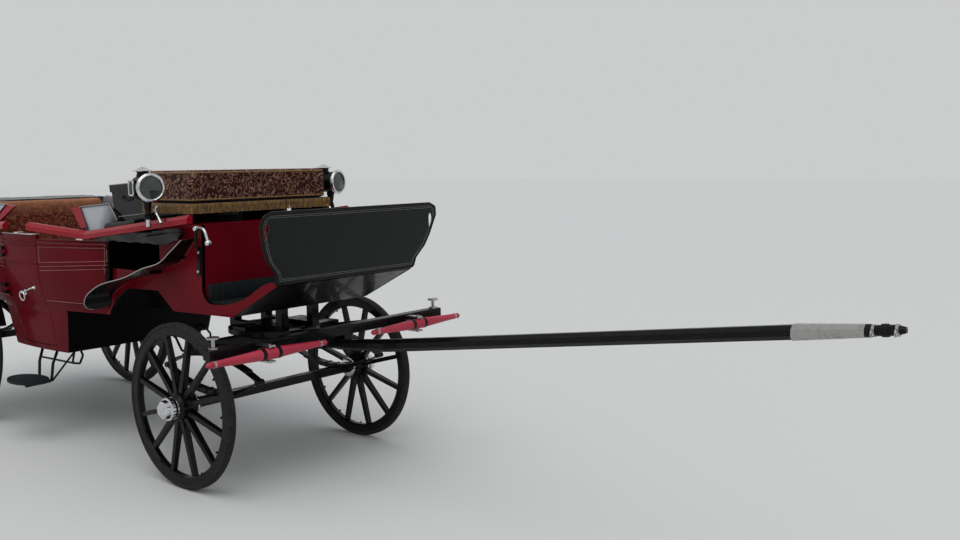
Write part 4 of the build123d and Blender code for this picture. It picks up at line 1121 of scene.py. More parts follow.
@dataclass
class FoldedHead(Assembly):
    """The folded leather of both half heads: pleated side folds, the gathered middle and the leaning panels,
    each panel with a painted sky reflection and a painted highlight on its top edges.

    The panel's sizes are in millimetres; the folds are worked in metres.
    """

    vertex: Flat = (1565.0, 1320.0)
    foot: float = 516.0
    lean: float = 76.0
    lean_from: float = -44.0
    lean_height: float = 224.0
    thickness: float = 16.0
    proud: float = 1.2
    binding_radius: float = 0.0058
    highlight_radius: float = 0.0026
    panel: tuple[Flat, ...] = ((-74, 9), (-44, -42), (224, -19), (224, 67), (99, 158), (-223, 134))
    voxel: float = 0.0145
    depth: float = 0.011
    drift: float = 0.002
    fold_step: float = 0.028
    fold_foot: float = 1.262
    fold_rise: float = 0.115
    fold_start: float = 0.70
    crown_normal: float = 0.6
    crown_pitch: float = 52.0
    taut_depth: float = 0.4
    slack_depth: float = 0.55
    wave_depth: float = 0.45
    panel_reach: float = 0.93
    panel_half_width: float = 0.53
    bend: float = 0.6
    bend_pitch: Flat = (9.0, 3.0)
    crown_sway: float = 0.8
    crown_across: float = 5.0
    drift_pitch: tuple[Flat, Flat] = ((23.0, 31.0), (17.0, 11.0))
    smooth: float = 70.0

    def build(self) -> None:
        """Make both halves; the rear one's panels are the front ones turned round."""
        looks, panel = self.looks, self.panel
        middle = self.coach.at(BODY_MIDDLE, 0.0, 0.0)[0]
        for name, part, finish in (
                ("head_panel", self.lining(), looks.panel),
                ("head_binding", self.edge(panel + panel[:1], self.binding_radius, 1.5), looks.patent),
                # A pale line along the panel's top edges: a painted highlight.
                ("head_beading", self.edge(panel[3:6], self.highlight_radius, 7.5), looks.edging_and_highlight)):
            front = self.add(f"{name}_front", [part], finish, "patent_leather")
            dress(reflected(front, f"{name}_rear", (1.0, 0.0, 0.0), middle), finish, "patent_leather")
        for end in ENDS:
            piece = self.coach.copy_node(f"head_leather_{end}", f"head_{end}")
            self.gather(piece, middle)
            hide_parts(f"head_leather_{end}")
            dress(piece, looks.patent, "patent_leather")

    def place(self, along: float, up: float, out: float) -> Point:
        """Return a point of the leaning panel, from the rails' joint and out of its outer face."""
        y = -self.foot + self.lean * (up - self.lean_from) / self.lean_height
        return self.coach.at(self.vertex[0] + along, y - out, self.vertex[1] + up)

    def lining(self) -> Piece:
        """Return the strained lining: the panel's outline extruded through its thickness."""
        clear_selection()
        bpy.ops.mesh.primitive_circle_add(vertices=len(self.panel), radius=1.0, fill_type="NGON")
        piece = take("head_panel")
        for vertex, (along, up) in zip(piece.data.vertices, self.panel):
            vertex.co = self.place(along, up, self.proud)
        through = (self.thickness + 2 * self.proud) * MM
        with editing():
            bpy.ops.mesh.extrude_region_move(TRANSFORM_OT_translate={"value": (0.0, through, 0.0)})
            face_outwards()
        soften(piece, 0.003)
        return settle(piece)

    def edge(self, corners: Sequence[Flat], radius: float, raised: float) -> Piece:
        """Return a bar along the panel's edge: the leather binding, or the pale line that paints the top edges'
        highlight.
        """
        route = [self.place(along, up, raised) for along, up in corners]
        return bar("head_binding", route, radius, bends=False, sides=2)

    def gather(self, piece: Piece, middle: float) -> None:
        """Ease the folded leather's form and let its folds stand out in rows.

        Args:
            piece: the copied leather.
            middle: the X of the body's middle, from which both halves are folded outwards.
        """
        remesh(piece, self.voxel, 3)
        normals = [vertex.normal.copy() for vertex in piece.data.vertices]
        for vertex, normal in zip(piece.data.vertices, normals):
            x, y, z = vertex.co
            run = abs(x - middle)
            rise = z - self.fold_rise * (run - self.fold_start)
            bend = self.bend * math.sin(run * self.bend_pitch[0] + y * self.bend_pitch[1])
            wave = math.sin(math.pi * (rise - self.fold_foot) / self.fold_step + bend)
            if abs(normal.z) > self.crown_normal:
                sway = self.crown_sway * math.sin(y * self.crown_across)
                wave = self.bend * math.sin(run * self.crown_pitch + sway)
            (a, b), (c, d) = self.drift_pitch
            drift = math.sin(run * a + z * b) * math.sin(y * c + z * d)
            taut = run < self.panel_reach and abs(y) < self.panel_half_width
            fold = self.taut_depth if taut else self.slack_depth - self.wave_depth * wave
            vertex.co = Vector((x, y, z)) - normal * (self.depth * fold + self.drift * drift)
        subdivide(piece, self.smooth)


# Fittings


@dataclass
class CoachLamps(Assembly):
    """The pair of round-fronted lamps: black cases on turned stems, bright bezels, caps and side panes."""

    x: float = 2357.0
    y: float = 640.0
    z: float = 1577.0
    turn: float = 12.0
    radius: float = 64.0
    front: float = 49.0
    rear: float = -91.0
    bezel: float = 76.0
    lens: float = 60.0
    glass_edge: float = 59.8
    bowl_edge: float = 57.0
    bowl_depth: float = 44.0
    cap_x: float = -46.0
    drop: float = 144.0
    ferrule: float = 63.0
    lens_bulge: float = 7.0
    lens_faces: Flat = (18.0, 13.0)
    pane_bar: float = 9.0
    brace_radius: float = 0.0068
    brace: tuple[Point, ...] = ((2344, -574, 1474), (2360, -600, 1459), (2385, -601, 1425),
                                (2410, -600, 1392))

    def build(self) -> None:
        """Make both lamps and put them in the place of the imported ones."""
        looks = self.looks
        cases = [self.case(), self.neck(), self.stem(), self.box()]
        self.add("lamp_cases", cases, looks.black, "black_enamel", "lamps")
        brace = bar("brace", [self.coach.at(*spot) for spot in self.brace], self.brace_radius, sides=3)
        trim = [self.bezel_ring(), self.cap(), *self.frames(), self.collar(), brace]
        self.add("lamp_trim", trim, looks.chrome, "plated_chrome")
        self.add("lamp_bowls", [self.bowl()], looks.silvered, "plated_chrome")
        self.add("lamp_burners", [self.burner()], looks.porcelain, "plated_chrome")
        self.add("lamp_glasses", [self.glass()], looks.glass, "lamp_glass", "lamp_lenses")

    def place(self, forwards: float, sideways: float, up: float) -> Point:
        """Return the place of a point given in the right lamp's own directions."""
        angle = math.radians(-self.turn)
        return self.coach.at(self.x + forwards * math.cos(angle) - sideways * math.sin(angle),
                             -self.y + forwards * math.sin(angle) + sideways * math.cos(angle), self.z + up)

    def lengthwise(self, name: str, start: float, stations: Sequence[Flat]) -> Piece:
        """Turn a piece about the lamp's level axis, with distances from a start along it."""
        ahead = Vector(self.place(1.0, 0.0, 0.0)) - Vector(self.place(0.0, 0.0, 0.0))
        rings = [((start + d) * MM, r * MM) for d, r in stations]
        return turned(name, rings, self.place(0.0, 0.0, 0.0), tuple(ahead), 48)

    def upright(self, name: str, forwards: float, start: float, stations: Sequence[Flat]) -> Piece:
        """Turn a piece about an upright axis, with heights from a start above the lamp's centre."""
        rings = [((start + d) * MM, r * MM) for d, r in stations]
        return turned(name, rings, self.place(forwards, 0.0, 0.0), UPWARDS)

    def case(self) -> Piece:
        """Return the drum, open in front, with rolled beads round it."""
        r, length = self.radius, self.front - self.rear
        return self.lengthwise("drum", self.rear, [
            (0, r - 16), (2, r - 11), (12, r - 1.5), (17, r - 1.5), (19, r), (24, r), (26, r - 1.5),
            (length - 28, r - 1.5), (length - 26, r), (length - 21, r), (length - 19, r - 1.5),
            (length - 4, r - 1), (length - 4, r - 2.5), (length - 55, r - 2.5)])

    def bezel_ring(self) -> Piece:
        """Return the bright bezel round the lens."""
        edge, case, hole = self.bezel, self.radius, self.lens
        return self.lengthwise("bezel", self.front, [
            (-53, case - 3), (-8, case - 3), (-6, case + 1), (0, edge - 6), (4, edge - 2.5), (8, edge),
            (11, edge), (13, edge - 2), (16, edge - 2.5), (19, edge - 5), (21.5, edge - 9), (21.5, edge - 12),
            (19, hole + 0.6), (5, hole + 0.6), (3, hole - 2)])

    def bowl(self) -> Piece:
        """Return the silvered bowl behind the lens, made as a shallow cup that is closed at the back."""
        edge = self.bowl_edge
        cup = [(2.5 - self.bowl_depth * (1 - (r / edge) ** 2), r) for r in (57, 52, 45, 36, 26, 16, 8)]
        return self.lengthwise("bowl", self.front, [(-50, edge - 2), (-10, edge + 3), (2.5, edge + 2), *cup])

    def burner(self) -> Piece:
        """Return the porcelain burner in the bowl's middle."""
        return self.lengthwise("burner", self.front, [(-44, 9.0), (-30, 9.0), (-29, 6.5), (-20, 6.5),
                                                      (-14, 5.0), (-11, 2.0)])

    def glass(self) -> Piece:
        """Return the lens, a little bulged in front and hollow behind."""
        radii = (self.glass_edge, 50, 38, 25, 12, 4)
        outer, inner = ([(face - self.lens_bulge * (r / self.glass_edge) ** 2, r) for r in radii]
                        for face in self.lens_faces)
        return self.lengthwise("lens", self.front, [*reversed(inner), *outer])

    def neck(self) -> Piece:
        """Return the black neck of the chimney."""
        return self.upright("neck", self.cap_x, self.radius, [(-10, 33.0), (4, 33.0), (6, 30.0), (18, 30.0),
                                                              (24, 38.0)])

    def cap(self) -> Piece:
        """Return the bright cap over the chimney, flared at its rim."""
        return self.upright("cap", self.cap_x, self.radius, [
            (21, 40.0), (22, 49.0), (24, 50.0), (26, 49.5), (29, 41.0), (34, 30.0), (39, 22.0), (41, 14.0),
            (43, 12.0), (45, 8.0), (46, 3.0)])

    def stem(self) -> Piece:
        """Return the turned stem below the case."""
        top = self.drop - self.radius
        return self.upright("stem", 0.0, -self.drop, [
            (0, 17.0), (3, 20.0), (9, 20.0), (13, 16.5), (24, 15.0), (44, 19.0), (top - 16, 21.5),
            (top - 12, 24.5), (top - 6, 24.5), (top - 3, 22.0), (top + 10, 27.0)])

    def collar(self) -> Piece:
        """Return the bright ferrule that stands in the iron's socket."""
        return self.upright("ferrule", 0.0, -self.drop, [(-self.ferrule, 8.0), (4 - self.ferrule, 13.0),
                                                         (-26, 13.0), (0, 12.9)])

    def box(self) -> Piece:
        """Return the black box that holds the side pane, swelling from the drum."""
        return self.slab("pane_box", (self.rear + 13, self.rear + 83), (-self.radius - 3, -self.radius + 18),
                         (-41.0, 41.0))

    def slab(self, name: str, lengthwise: Flat, sideways: Flat, upright: Flat) -> Piece:
        """Return an eased block set square to the turned lamp.

        Args:
            name: its name.
            lengthwise: its two ends along the lamp.
            sideways: its two faces across the lamp.
            upright: its bottom and top from the lamp's centre.

        Returns:
            The finished block.
        """
        first, last = (Vector(corner) for corner in zip(lengthwise, sideways, upright))
        centre = (first + last) / 2
        clear_selection()
        bpy.ops.mesh.primitive_cube_add(size=1.0, location=self.place(*centre), scale=(last - first) * MM,
                                        rotation=(0.0, 0.0, math.radians(-self.turn)))
        piece = take(name)
        soften(piece, 0.0015)
        return settle(piece)

    def frames(self) -> list[Piece]:
        """Return the four bright bars round the side pane."""
        near, far, half, wide = self.rear + 12, self.rear + 84, 42.0, self.pane_bar
        faces = (-self.radius - 6, -self.radius + 2)
        return [self.slab("pane_bar", lengthwise, faces, upright) for lengthwise, upright in (
            ((near, near + wide), (-half, half)), ((far - wide, far), (-half, half)),
            ((near, far), (half - wide, half)), ((near, far), (-half, -half + wide)))]


@dataclass
class HandBrake(Assembly):
    """The hand brake's bright parts on its black strap: bolt heads, pivot, crank and knob."""

    face: float = -478.0
    x: float = 2569.0
    low: float = 1112.0
    bolt_rises: Flat = (22.0, 124.0)
    pivot: Point = (2573.0, -502.0, 1362.0)
    crank: tuple[Point, ...] = ((0, 0, 0), (34, 0, 6), (68, 0, -4), (88, 0, -38), (100, 0, -72))
    crank_radius: float = 0.0066
    bolt_rings: tuple[Flat, ...] = ((0.0, 0.0095), (0.004, 0.0095), (0.0068, 0.006), (0.0072, 0.002))
    boss_rings: tuple[Flat, ...] = ((0.0, 0.009), (0.002, 0.0145), (0.022, 0.0145), (0.026, 0.012),
                                    (0.0285, 0.005))
    knob_rings: tuple[Flat, ...] = ((0.003, 0.0172), (0.010, 0.0145), (0.0155, 0.009), (0.0172, 0.004))
    bolt_x: float = -18.0
    bolt_lean: float = 0.1
    bolt_out: float = 7.6
    boss_in: float = 14.0
    knob_aim: Point = (0.55, 0.0, -0.83)

    def build(self) -> None:
        """Make and dress the bright parts."""
        at = self.coach.at
        heads = [at(self.x + self.bolt_x + rise * self.bolt_lean, self.face - self.bolt_out, self.low + rise)
                 for rise in self.bolt_rises]
        parts = [turned("bolt", self.bolt_rings, head, RIGHTWARDS, 18) for head in heads]
        x, y, z = self.pivot
        parts.append(turned("boss", self.boss_rings, at(x, y + self.boss_in, z), RIGHTWARDS, 28))
        route = [at(x + along, y + out, z + up) for along, out, up in self.crank]
        parts.append(bar("crank", route, self.crank_radius))
        rings = [(-d, r) for d, r in reversed(self.knob_rings)] + list(self.knob_rings)
        parts.append(turned("knob", rings, route[-1], self.knob_aim, 28))
        dress(join("brake_brights", parts), self.looks.chrome, "plated_chrome")


@dataclass
class Dash(Assembly):
    """The dash's trimmings: bound hand-holds, and two rows of pale stitches inside its iron, which also paint
    the iron's double highlight.
    """

    foot: Flat = (3182.0, 1100.0)
    lean: float = 11.52
    thickness: float = 10.0
    height: float = 374.0
    outline: tuple[Flat, ...] = ((490, 0), (502, 60), (560, 125), (590, 190), (622, 300), (608, 352),
                                 (556, 374))
    hold: tuple[Flat, ...] = ((575, 228), (592, 226), (598, 250), (590, 300), (565, 318), (556, 300))
    rows: Flat = (22.0, 31.0)
    pitch: float = 11.0
    stitch: tuple[Point, ...] = ((-0.0027, 0.0, 0.0), (0.0, 0.0, 0.0008), (0.0027, 0.0, 0.0))
    stitch_radius: float = 0.0009
    stitch_proud: float = 0.3
    binding_radius: float = 0.0062

    def build(self) -> None:
        """Make and dress the stitches and the bindings."""
        for row, inset in enumerate(self.rows):
            stitches = self.stitches(f"dash_stitches_{row}", inset)
            # The pale stitches also stand in for the iron's highlights: painted highlight lines.
            dress(stitches, self.looks.edging_and_highlight, "patent_leather")
        ring = [self.place(-y, z, self.thickness / 2) for y, z in self.hold]
        bound = bar("dash_hold_binding", ring, self.binding_radius, closed=True, sides=2, steps=6)
        self.add("dash_hold_bindings", [bound], self.looks.patent, "patent_leather")

    def place(self, sideways: float, up: float, out: float) -> Point:
        """Return a point of the leather, given across it, up it and out of its rear face."""
        angle = math.radians(self.lean)
        return self.coach.at(self.foot[0] + up * math.sin(angle) + out * math.cos(angle), sideways,
                             self.foot[1] + up * math.cos(angle) - out * math.sin(angle))

    def loop(self, inset: float) -> list[Flat]:
        """Return the outline's corners moved inwards, all the way round."""
        corners = [(y - inset, min(max(z, inset), self.height - inset)) for y, z in self.outline]
        return corners + [(-y, z) for y, z in reversed(corners)]

    def stitches(self, name: str, inset: float) -> Piece:
        """Return a row of waxed stitches on the front face; their pale colour also paints a highlight line of
        the iron.
        """
        face = self.thickness + self.stitch_proud
        corners = [Vector(self.place(y, z, face)) for y, z in self.loop(inset)]
        pattern = bar("stitch", self.stitch, self.stitch_radius, sides=1, steps=2, settled=False)
        copies = []
        for first, last in zip(corners, corners[1:] + corners[:1]):
            run = last - first
            count = max(1, round(run.length / (self.pitch * MM)))
            turn = run.to_track_quat("X", "Z").to_matrix().to_4x4()
            spots = [first + run * ((index + 0.5) / count) for index in range(count)]
            copies += [moved_copy(pattern, "stitch", Matrix.Translation(spot) @ turn) for spot in spots]
        bpy.data.objects.remove(pattern)
        return settle(join(name, copies), ROUND_ANGLE)


@dataclass
class Fenders(Assembly):
    """The leather splash guards, with rolled edges; the front ones curve from the wheel up to the boot."""

    bead: float = 0.0030
    sheet: float = 0.006
    line: tuple[Flat, ...] = ((1676, 876), (1692, 944), (1768, 996), (1890, 1042), (2110, 1090), (2280, 1146),
                              (2390, 1180), (2462, 1240), (2532, 1304))
    inner: float = 487.0
    outer: float = 654.0
    tip_outer: float = 567.0
    taper: Flat = (2290.0, 2532.0)
    rounding: float = 0.09
    rear_outer: float = 735.0
    rear_step: float = 0.012
    stays: tuple[Flat, ...] = ((2195, 1110), (2426, 1202))
    stay_ends: Flat = (-478.0, -550.0)
    stay_radius: float = 0.008
    edge_steps: int = 40
    edge_gap: float = 0.002
    end_share: float = 0.3
    grid: tuple[int, int] = (72, 8)
    smooth: float = 50.0

    def build(self) -> None:
        """Make and dress the front guards and all the beads."""
        at, looks = self.coach.at, self.looks
        stays = [bar("fender_stay", [at(x, y, z) for y in self.stay_ends], self.stay_radius, bends=False)
                 for x, z in self.stays]
        self.add("fender_guards", [self.guard(), *stays], looks.fender, "patent_leather", "fenders_front")
        front = [self.spot(index / self.edge_steps, 0.0) for index in range(self.edge_steps + 1)]
        for end, edge in (("front", front), ("rear", self.rear_edge())):
            bead = bar("fender_bead", edge, self.bead, sides=2, steps=3)
            self.add(f"fender_beads_{end}", [bead], looks.edging_and_highlight, "patent_leather")

    def rear_edge(self) -> list[Point]:
        """Return the highest points of the right rear guard's outer edge, one for each step along X."""
        found: dict[int, Vector] = {}
        for vertex in self.coach.mesh("fenders_rear").vertices:
            if abs(vertex.co.y + self.rear_outer * MM) < self.edge_gap:
                key = round(vertex.co.x / self.rear_step)
                if key not in found or vertex.co.z > found[key].z:
                    found[key] = vertex.co.copy()
        return [tuple(found[key]) for key in sorted(found)]

    def spot(self, along: float, across: float) -> Point:
        """Return a point of the right front guard.

        Args:
            along: its share of the way up, from the wheel to the boot.
            across: its share of the way inwards.

        Returns:
            The place on the guard's middle surface.
        """
        count = len(self.line) - 1
        index = min(int(along * count), count - 1)
        share = along * count - index
        a, b, c, d = (Vector(self.line[min(max(index + step, 0), count)]) for step in (-1, 0, 1, 2))
        x, z = (b * 2 + (c - a) * share + (a * 2 - b * 5 + c * 4 - d) * share ** 2
                + (b * 3 - a - c * 3 + d) * share ** 3) / 2
        fade = min(max((x - self.taper[0]) / (self.taper[1] - self.taper[0]), 0.0), 1.0)
        outer = self.outer + (self.tip_outer - self.outer) * fade
        middle, half = (outer + self.inner) / 2, (outer - self.inner) / 2
        if along < self.rounding:
            rounded = math.sqrt(max(1 - (1 - along / self.rounding) ** 2, 0.0))
            half *= rounded * (1 - self.end_share) + self.end_share
        return self.coach.at(x, -middle - half * (1 - 2 * across), z)

    def guard(self) -> Piece:
        """Return the right front guard: a leather sheet laid over its curve."""
        clear_selection()
        bpy.ops.mesh.primitive_grid_add(x_subdivisions=self.grid[0], y_subdivisions=self.grid[1], size=1.0)
        piece = take("fender_guard")
        for vertex in piece.data.vertices:
            vertex.co = self.spot(vertex.co.x + 0.5, vertex.co.y + 0.5)
        sheet = piece.modifiers.new("Solidify", "SOLIDIFY")
        sheet.thickness = self.sheet
        sheet.offset = 0.0
        return settle(piece, self.smooth)


@dataclass
class BodyTrim(Assembly):
    """The body's small trim: door-top plates, latches and rail hinges, and pale lines that paint the mouldings'
    highlights.
    """

    plates: tuple[tuple[str, Point, Point, float], ...] = (
        ("sill_plate", (668, -628, 1286.3), (1062, -588, 1289.5), 0.001),
        ("latch", (840, -634, 1288), (890, -596, 1299), 0.003),
        ("rail_hinge", (1500, -584, 1268), (1572, -566, 1277), 0.002))
    lines: tuple[tuple[float, float, float, float], ...] = (
        (1096, 1213, 1690, 1222), (1096, 1117, 1690, 1146), (1096, 1093, 1690, 1123),
        (1096, 1068, 1684, 1100), (1096, 1213, 1096, 1117), (1690, 1222, 1690, 1146),
        (1678, 1248, 1664, 1070), (1110, 882, 1620, 882), (1088, 1240, 1690, 1244))
    line_radius: float = 0.0011
    samples: int = 30
    far_in: float = -0.4

    def build(self) -> None:
        """Make and dress the trim of both sides."""
        at = self.coach.at
        plates = [block(name, at(*low), at(*high), width) for name, low, high, width in self.plates]
        self.add("body_plates", plates, self.looks.chrome, "plated_chrome")
        cover = self.coach.cover("body_shell")
        parts = []
        for x0, z0, x1, z1 in self.lines:
            for mirrored in (False, True):
                ends = [(2 * BODY_MIDDLE - x if mirrored else x, z) for x, z in ((x0, z0), (x1, z1))]
                route = self.lay(cover, *ends)
                if len(route) > 1:
                    parts.append(bar("line", route, self.line_radius, bends=False, sides=1))
        # The pale lines are painted highlights along the mouldings.
        self.add("body_lines", parts, self.looks.moulding_highlight, "carmine_paint")

    def lay(self, cover: BVHTree, first: Flat, last: Flat) -> list[Point]:
        """Return places on the right side's surface between two points given as (x, z)."""
        route = []
        for index in range(self.samples + 1):
            share = index / self.samples
            x, z = (a + (b - a) * share for a, b in zip(first, last))
            found = cover.ray_cast(Vector(self.coach.at(x, OUTSIDE, z)), Vector(LEFTWARDS))[0]
            if found is not None and found.y < self.far_in:
                route.append(tuple(found))
        return route


@dataclass
class DoorHandles(Assembly):
    """The drop-ring handles of both doors, with the long lever that works the lock at the front edge."""

    ring_x: float = 872.0
    ring_z: float = 918.0
    ring_radius: float = 29.0
    ring_bar: float = 0.0056
    ring_out: float = 20.0
    ring_tilt: float = 4.0
    ring_hang: float = 0.72
    lever_x: float = 1006.0
    lever_z: float = 956.0
    lever_bar: float = 0.0052
    rose: tuple[Flat, ...] = ((-0.003, 0.021), (0.002, 0.021), (0.004, 0.019), (0.005, 0.014), (0.009, 0.011),
                              (0.012, 0.008), (0.024, 0.0075), (0.027, 0.005))
    plate: tuple[Flat, ...] = ((-0.002, 0.012), (0.002, 0.012), (0.004, 0.009), (0.014, 0.007),
                               (0.017, 0.004))
    lever_start: tuple[Point, ...] = ((6.0, -20.0, 3.0), (60.0, -22.0, 16.0))
    lever_end: tuple[Point, ...] = ((-20.0, -16.0, -5.0), (0.0, -12.0, 0.0))

    def build(self) -> None:
        """Make and dress both handles."""
        right = self.handle()
        left = reflected(right, "handle_left", LEFTWARDS)
        for side, piece in (("right", right), ("left", left)):
            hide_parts(f"door_handle_{side}")
            dress(piece, self.looks.chrome, "plated_chrome", f"door_{side}")

    def face(self, x: float, z: float) -> float:
        """Return the Y of the right door's outer face, in millimetres."""
        start = Vector(self.coach.at(x, OUTSIDE, z))
        return self.coach.cover("door_right").ray_cast(start, Vector(LEFTWARDS))[0].y / MM

    def handle(self) -> Piece:
        """Return the right door's handle."""
        at, x, z, radius = self.coach.at, self.ring_x, self.ring_z, self.ring_radius
        y = self.face(x, z)
        lock_y = self.face(self.lever_x, self.lever_z)
        rose = turned("rose", self.rose, at(x, y, z), RIGHTWARDS, 32)
        out, hung = y - self.ring_out, z - radius * self.ring_hang
        loop = [at(x + radius * math.sin(a), out - self.ring_tilt * math.cos(a), hung + radius * math.cos(a))
                for a in around(16)]
        ring = bar("drop_ring", loop, self.ring_bar, closed=True, sides=3, steps=4)
        spot, lock = (x, y, z), (self.lever_x, lock_y, self.lever_z)
        steps = [(spot, step) for step in self.lever_start] + [(lock, step) for step in self.lever_end]
        lever = bar("lever", [at(*(a + b for a, b in zip(*both))) for both in steps], self.lever_bar)
        plate = turned("lock_plate", self.plate, at(*lock), RIGHTWARDS, 24)
        return join("handle_right", [rose, ring, lever, plate])


@dataclass
class LockerTrim(Assembly):
    """The folded seat case's trim: a light bead round its lid, a thinner one below, and two handles."""

    half_width: float = 461.0
    lid: tuple[Flat, ...] = ((1686, 1585.0), (2036, 1605.0))
    foot: tuple[Flat, ...] = ((1711, 1399.0), (2053, 1429.5))
    handle: Flat = (1866.0, 1520.0)
    handle_half: float = 46.0
    plate_half: Flat = (9.0, 10.0)
    bead_radii: Flat = (0.0028, 0.0018)
    grip_radius: float = 0.0032
    plate_depth: Flat = (3.0, 8.0)
    plate_round: float = 0.0015
    grip_route: tuple[Point, ...] = ((-46.0, -2.0, 0.0), (-30.0, -5.0, -16.0), (30.0, -5.0, -16.0),
                                     (46.0, -2.0, 0.0))

    def build(self) -> None:
        """Make and dress the beads and the handles."""
        beads = [self.bead(ends, radius) for ends, radius in zip((self.lid, self.foot), self.bead_radii)]
        dress(join("locker_beads", beads), self.looks.edging_and_highlight, "patent_leather")
        at, face, half = self.coach.at, -self.half_width, self.handle_half
        (x, z), (wide, tall) = self.handle, self.plate_half
        near, far = (face + depth for depth in self.plate_depth)
        plates = [block("handle_plate", at(x + way * half - wide, near, z - tall),
                        at(x + way * half + wide, far, z + tall), self.plate_round) for way in (-1, 1)]
        route = [at(x + along, face + out, z + up) for along, out, up in self.grip_route]
        grip = bar("grip", route, self.grip_radius)
        self.add("locker_handles", [*plates, grip], self.looks.black, "black_enamel")

    def bead(self, ends: Sequence[Flat], radius: float) -> Piece:
        """Return a bead round the case."""
        (x0, z0), (x1, z1) = ends
        y = self.half_width
        corners = ((x0, -y, z0), (x1, -y, z1), (x1, y, z1), (x0, y, z0), (x0, -y, z0))
        return bar("bead", [self.coach.at(*point) for point in corners], radius, bends=False, sides=2)


@dataclass
class WheelTrim(Assembly):
    """Bright rings round the hub and a bolt head in the felloe beside every other spoke, in metres."""

    ring_offsets: tuple[float, ...] = (0.071, 0.051, -0.071)
    ring_radius: float = 0.0576
    bolts: int = 12
    bolt_inset: float = 0.044
    bolt_out: float = 0.0205
    bolt_rings: tuple[Flat, ...] = ((0.0, 0.0075), (0.002, 0.0075), (0.0045, 0.005), (0.0055, 0.002))

    def build(self) -> None:
        """Trim the four wheels."""
        radius = self.ring_radius
        band = [(-0.005, radius - 0.004), (-0.004, radius), (0.0, radius + 0.0012), (0.004, radius),
                (0.005, radius - 0.004)]
        for name, side in ((f"wheel_{end}_{side.name.lower()}", side) for end in ENDS for side in Side):
            low, high = (Vector(corner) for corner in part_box(name))
            centre = (low + high) / 2
            out = Vector((0.0, side.value, 0.0))
            rings = [turned("hub_ring", band, centre + out * offset, out, 48) for offset in self.ring_offsets]
            dress(join(f"{name}_rings", rings), self.looks.chrome, "plated_chrome", name)
            reach = (high.z - low.z) / 2 - self.bolt_inset
            spots = [centre + Vector((math.cos(a), 0.0, math.sin(a))) * reach + out * self.bolt_out
                     for a in around(self.bolts)]
            heads = [turned("felloe_bolt", self.bolt_rings, spot, out, 12) for spot in spots]
            dress(join(f"{name}_bolts", heads), self.looks.black, "black_enamel", name)


@dataclass
class Mats(Assembly):
    """Ribbed rubber: the driver's foot mat with its turned-up edge, and ribs on the step treads."""

    floor_z: float = 965.0
    rear_x: float = 2592.0
    fold_x: float = 2800.0
    tip: Flat = (3150.0, 1107.0)
    heel_z: float = 1064.0
    half_width: float = 452.0
    thickness: float = 5.0
    tread: Point = (935.0, 650.0, 380.0)
    tread_half: Flat = (175.0, 105.0)
    rib_pitch: float = 15.0
    rib_half: float = 3.0
    rib_levels: Flat = (-0.5, 2.2)
    rib_gap: float = 12.0
    rim_inset: float = 4.0
    rib_round: float = 0.001
    rim_radius: float = 0.003
    mat_round: float = 0.0015
    heel_depth: Flat = (6.0, 1.0)
    heel_gap: float = 1.0

    def build(self) -> None:
        """Make and dress the mat and the ribs."""
        dress(self.mat(), self.looks.mat, "mat_rubber")
        at = self.coach.at
        x, y, z = self.tread
        half_x, half_y = self.tread_half
        ribs = []
        count = int(half_y * 2 / self.rib_pitch) - 1
        for index in range(count):
            across = (index - (count - 1) / 2) * self.rib_pitch
            reach = half_x * math.sqrt(1 - (across / half_y) ** 2) - self.rib_gap
            low, high = (at(x + way * reach, -y + across + way * self.rib_half, z + level)
                         for way, level in zip((-1, 1), self.rib_levels))
            ribs.append(block("rib", low, high, self.rib_round))
        reach_x, reach_y = half_x - self.rim_inset, half_y - self.rim_inset
        rim = [at(x + reach_x * math.cos(a), -y + reach_y * math.sin(a), z) for a in around(16)]
        ribs.append(bar("tread_rim", rim, self.rim_radius, closed=True, sides=2, steps=3))
        self.add("tread_ribs", ribs, self.looks.mat, "mat_rubber")

    def mat(self) -> Piece:
        """Return the foot mat, laid over the boot's floor and up the toe board."""
        at, half = self.coach.at, self.half_width
        piece = block("foot_mat", at(self.rear_x, -half, self.floor_z),
                      at(self.fold_x, half, self.floor_z + self.thickness), self.mat_round, settled=False)
        front = at(self.fold_x, 0.0, 0.0)[0] - MM
        rise = (self.tip[1] - self.floor_z) * MM
        run = (self.tip[0] - self.fold_x) * MM
        with editing():
            select_faces(piece, lambda middle, normal: middle.x > front and normal.x > 0.9)
            bpy.ops.mesh.extrude_region_move(TRANSFORM_OT_translate={"value": (run, 0.0, rise)})
        near, far = (self.rear_x - depth for depth in self.heel_depth)
        heel = block("mat_heel", at(near, -half, self.floor_z + self.heel_gap), at(far, half, self.heel_z),
                     self.mat_round)
        return join("foot_mat", [settle(piece), heel])


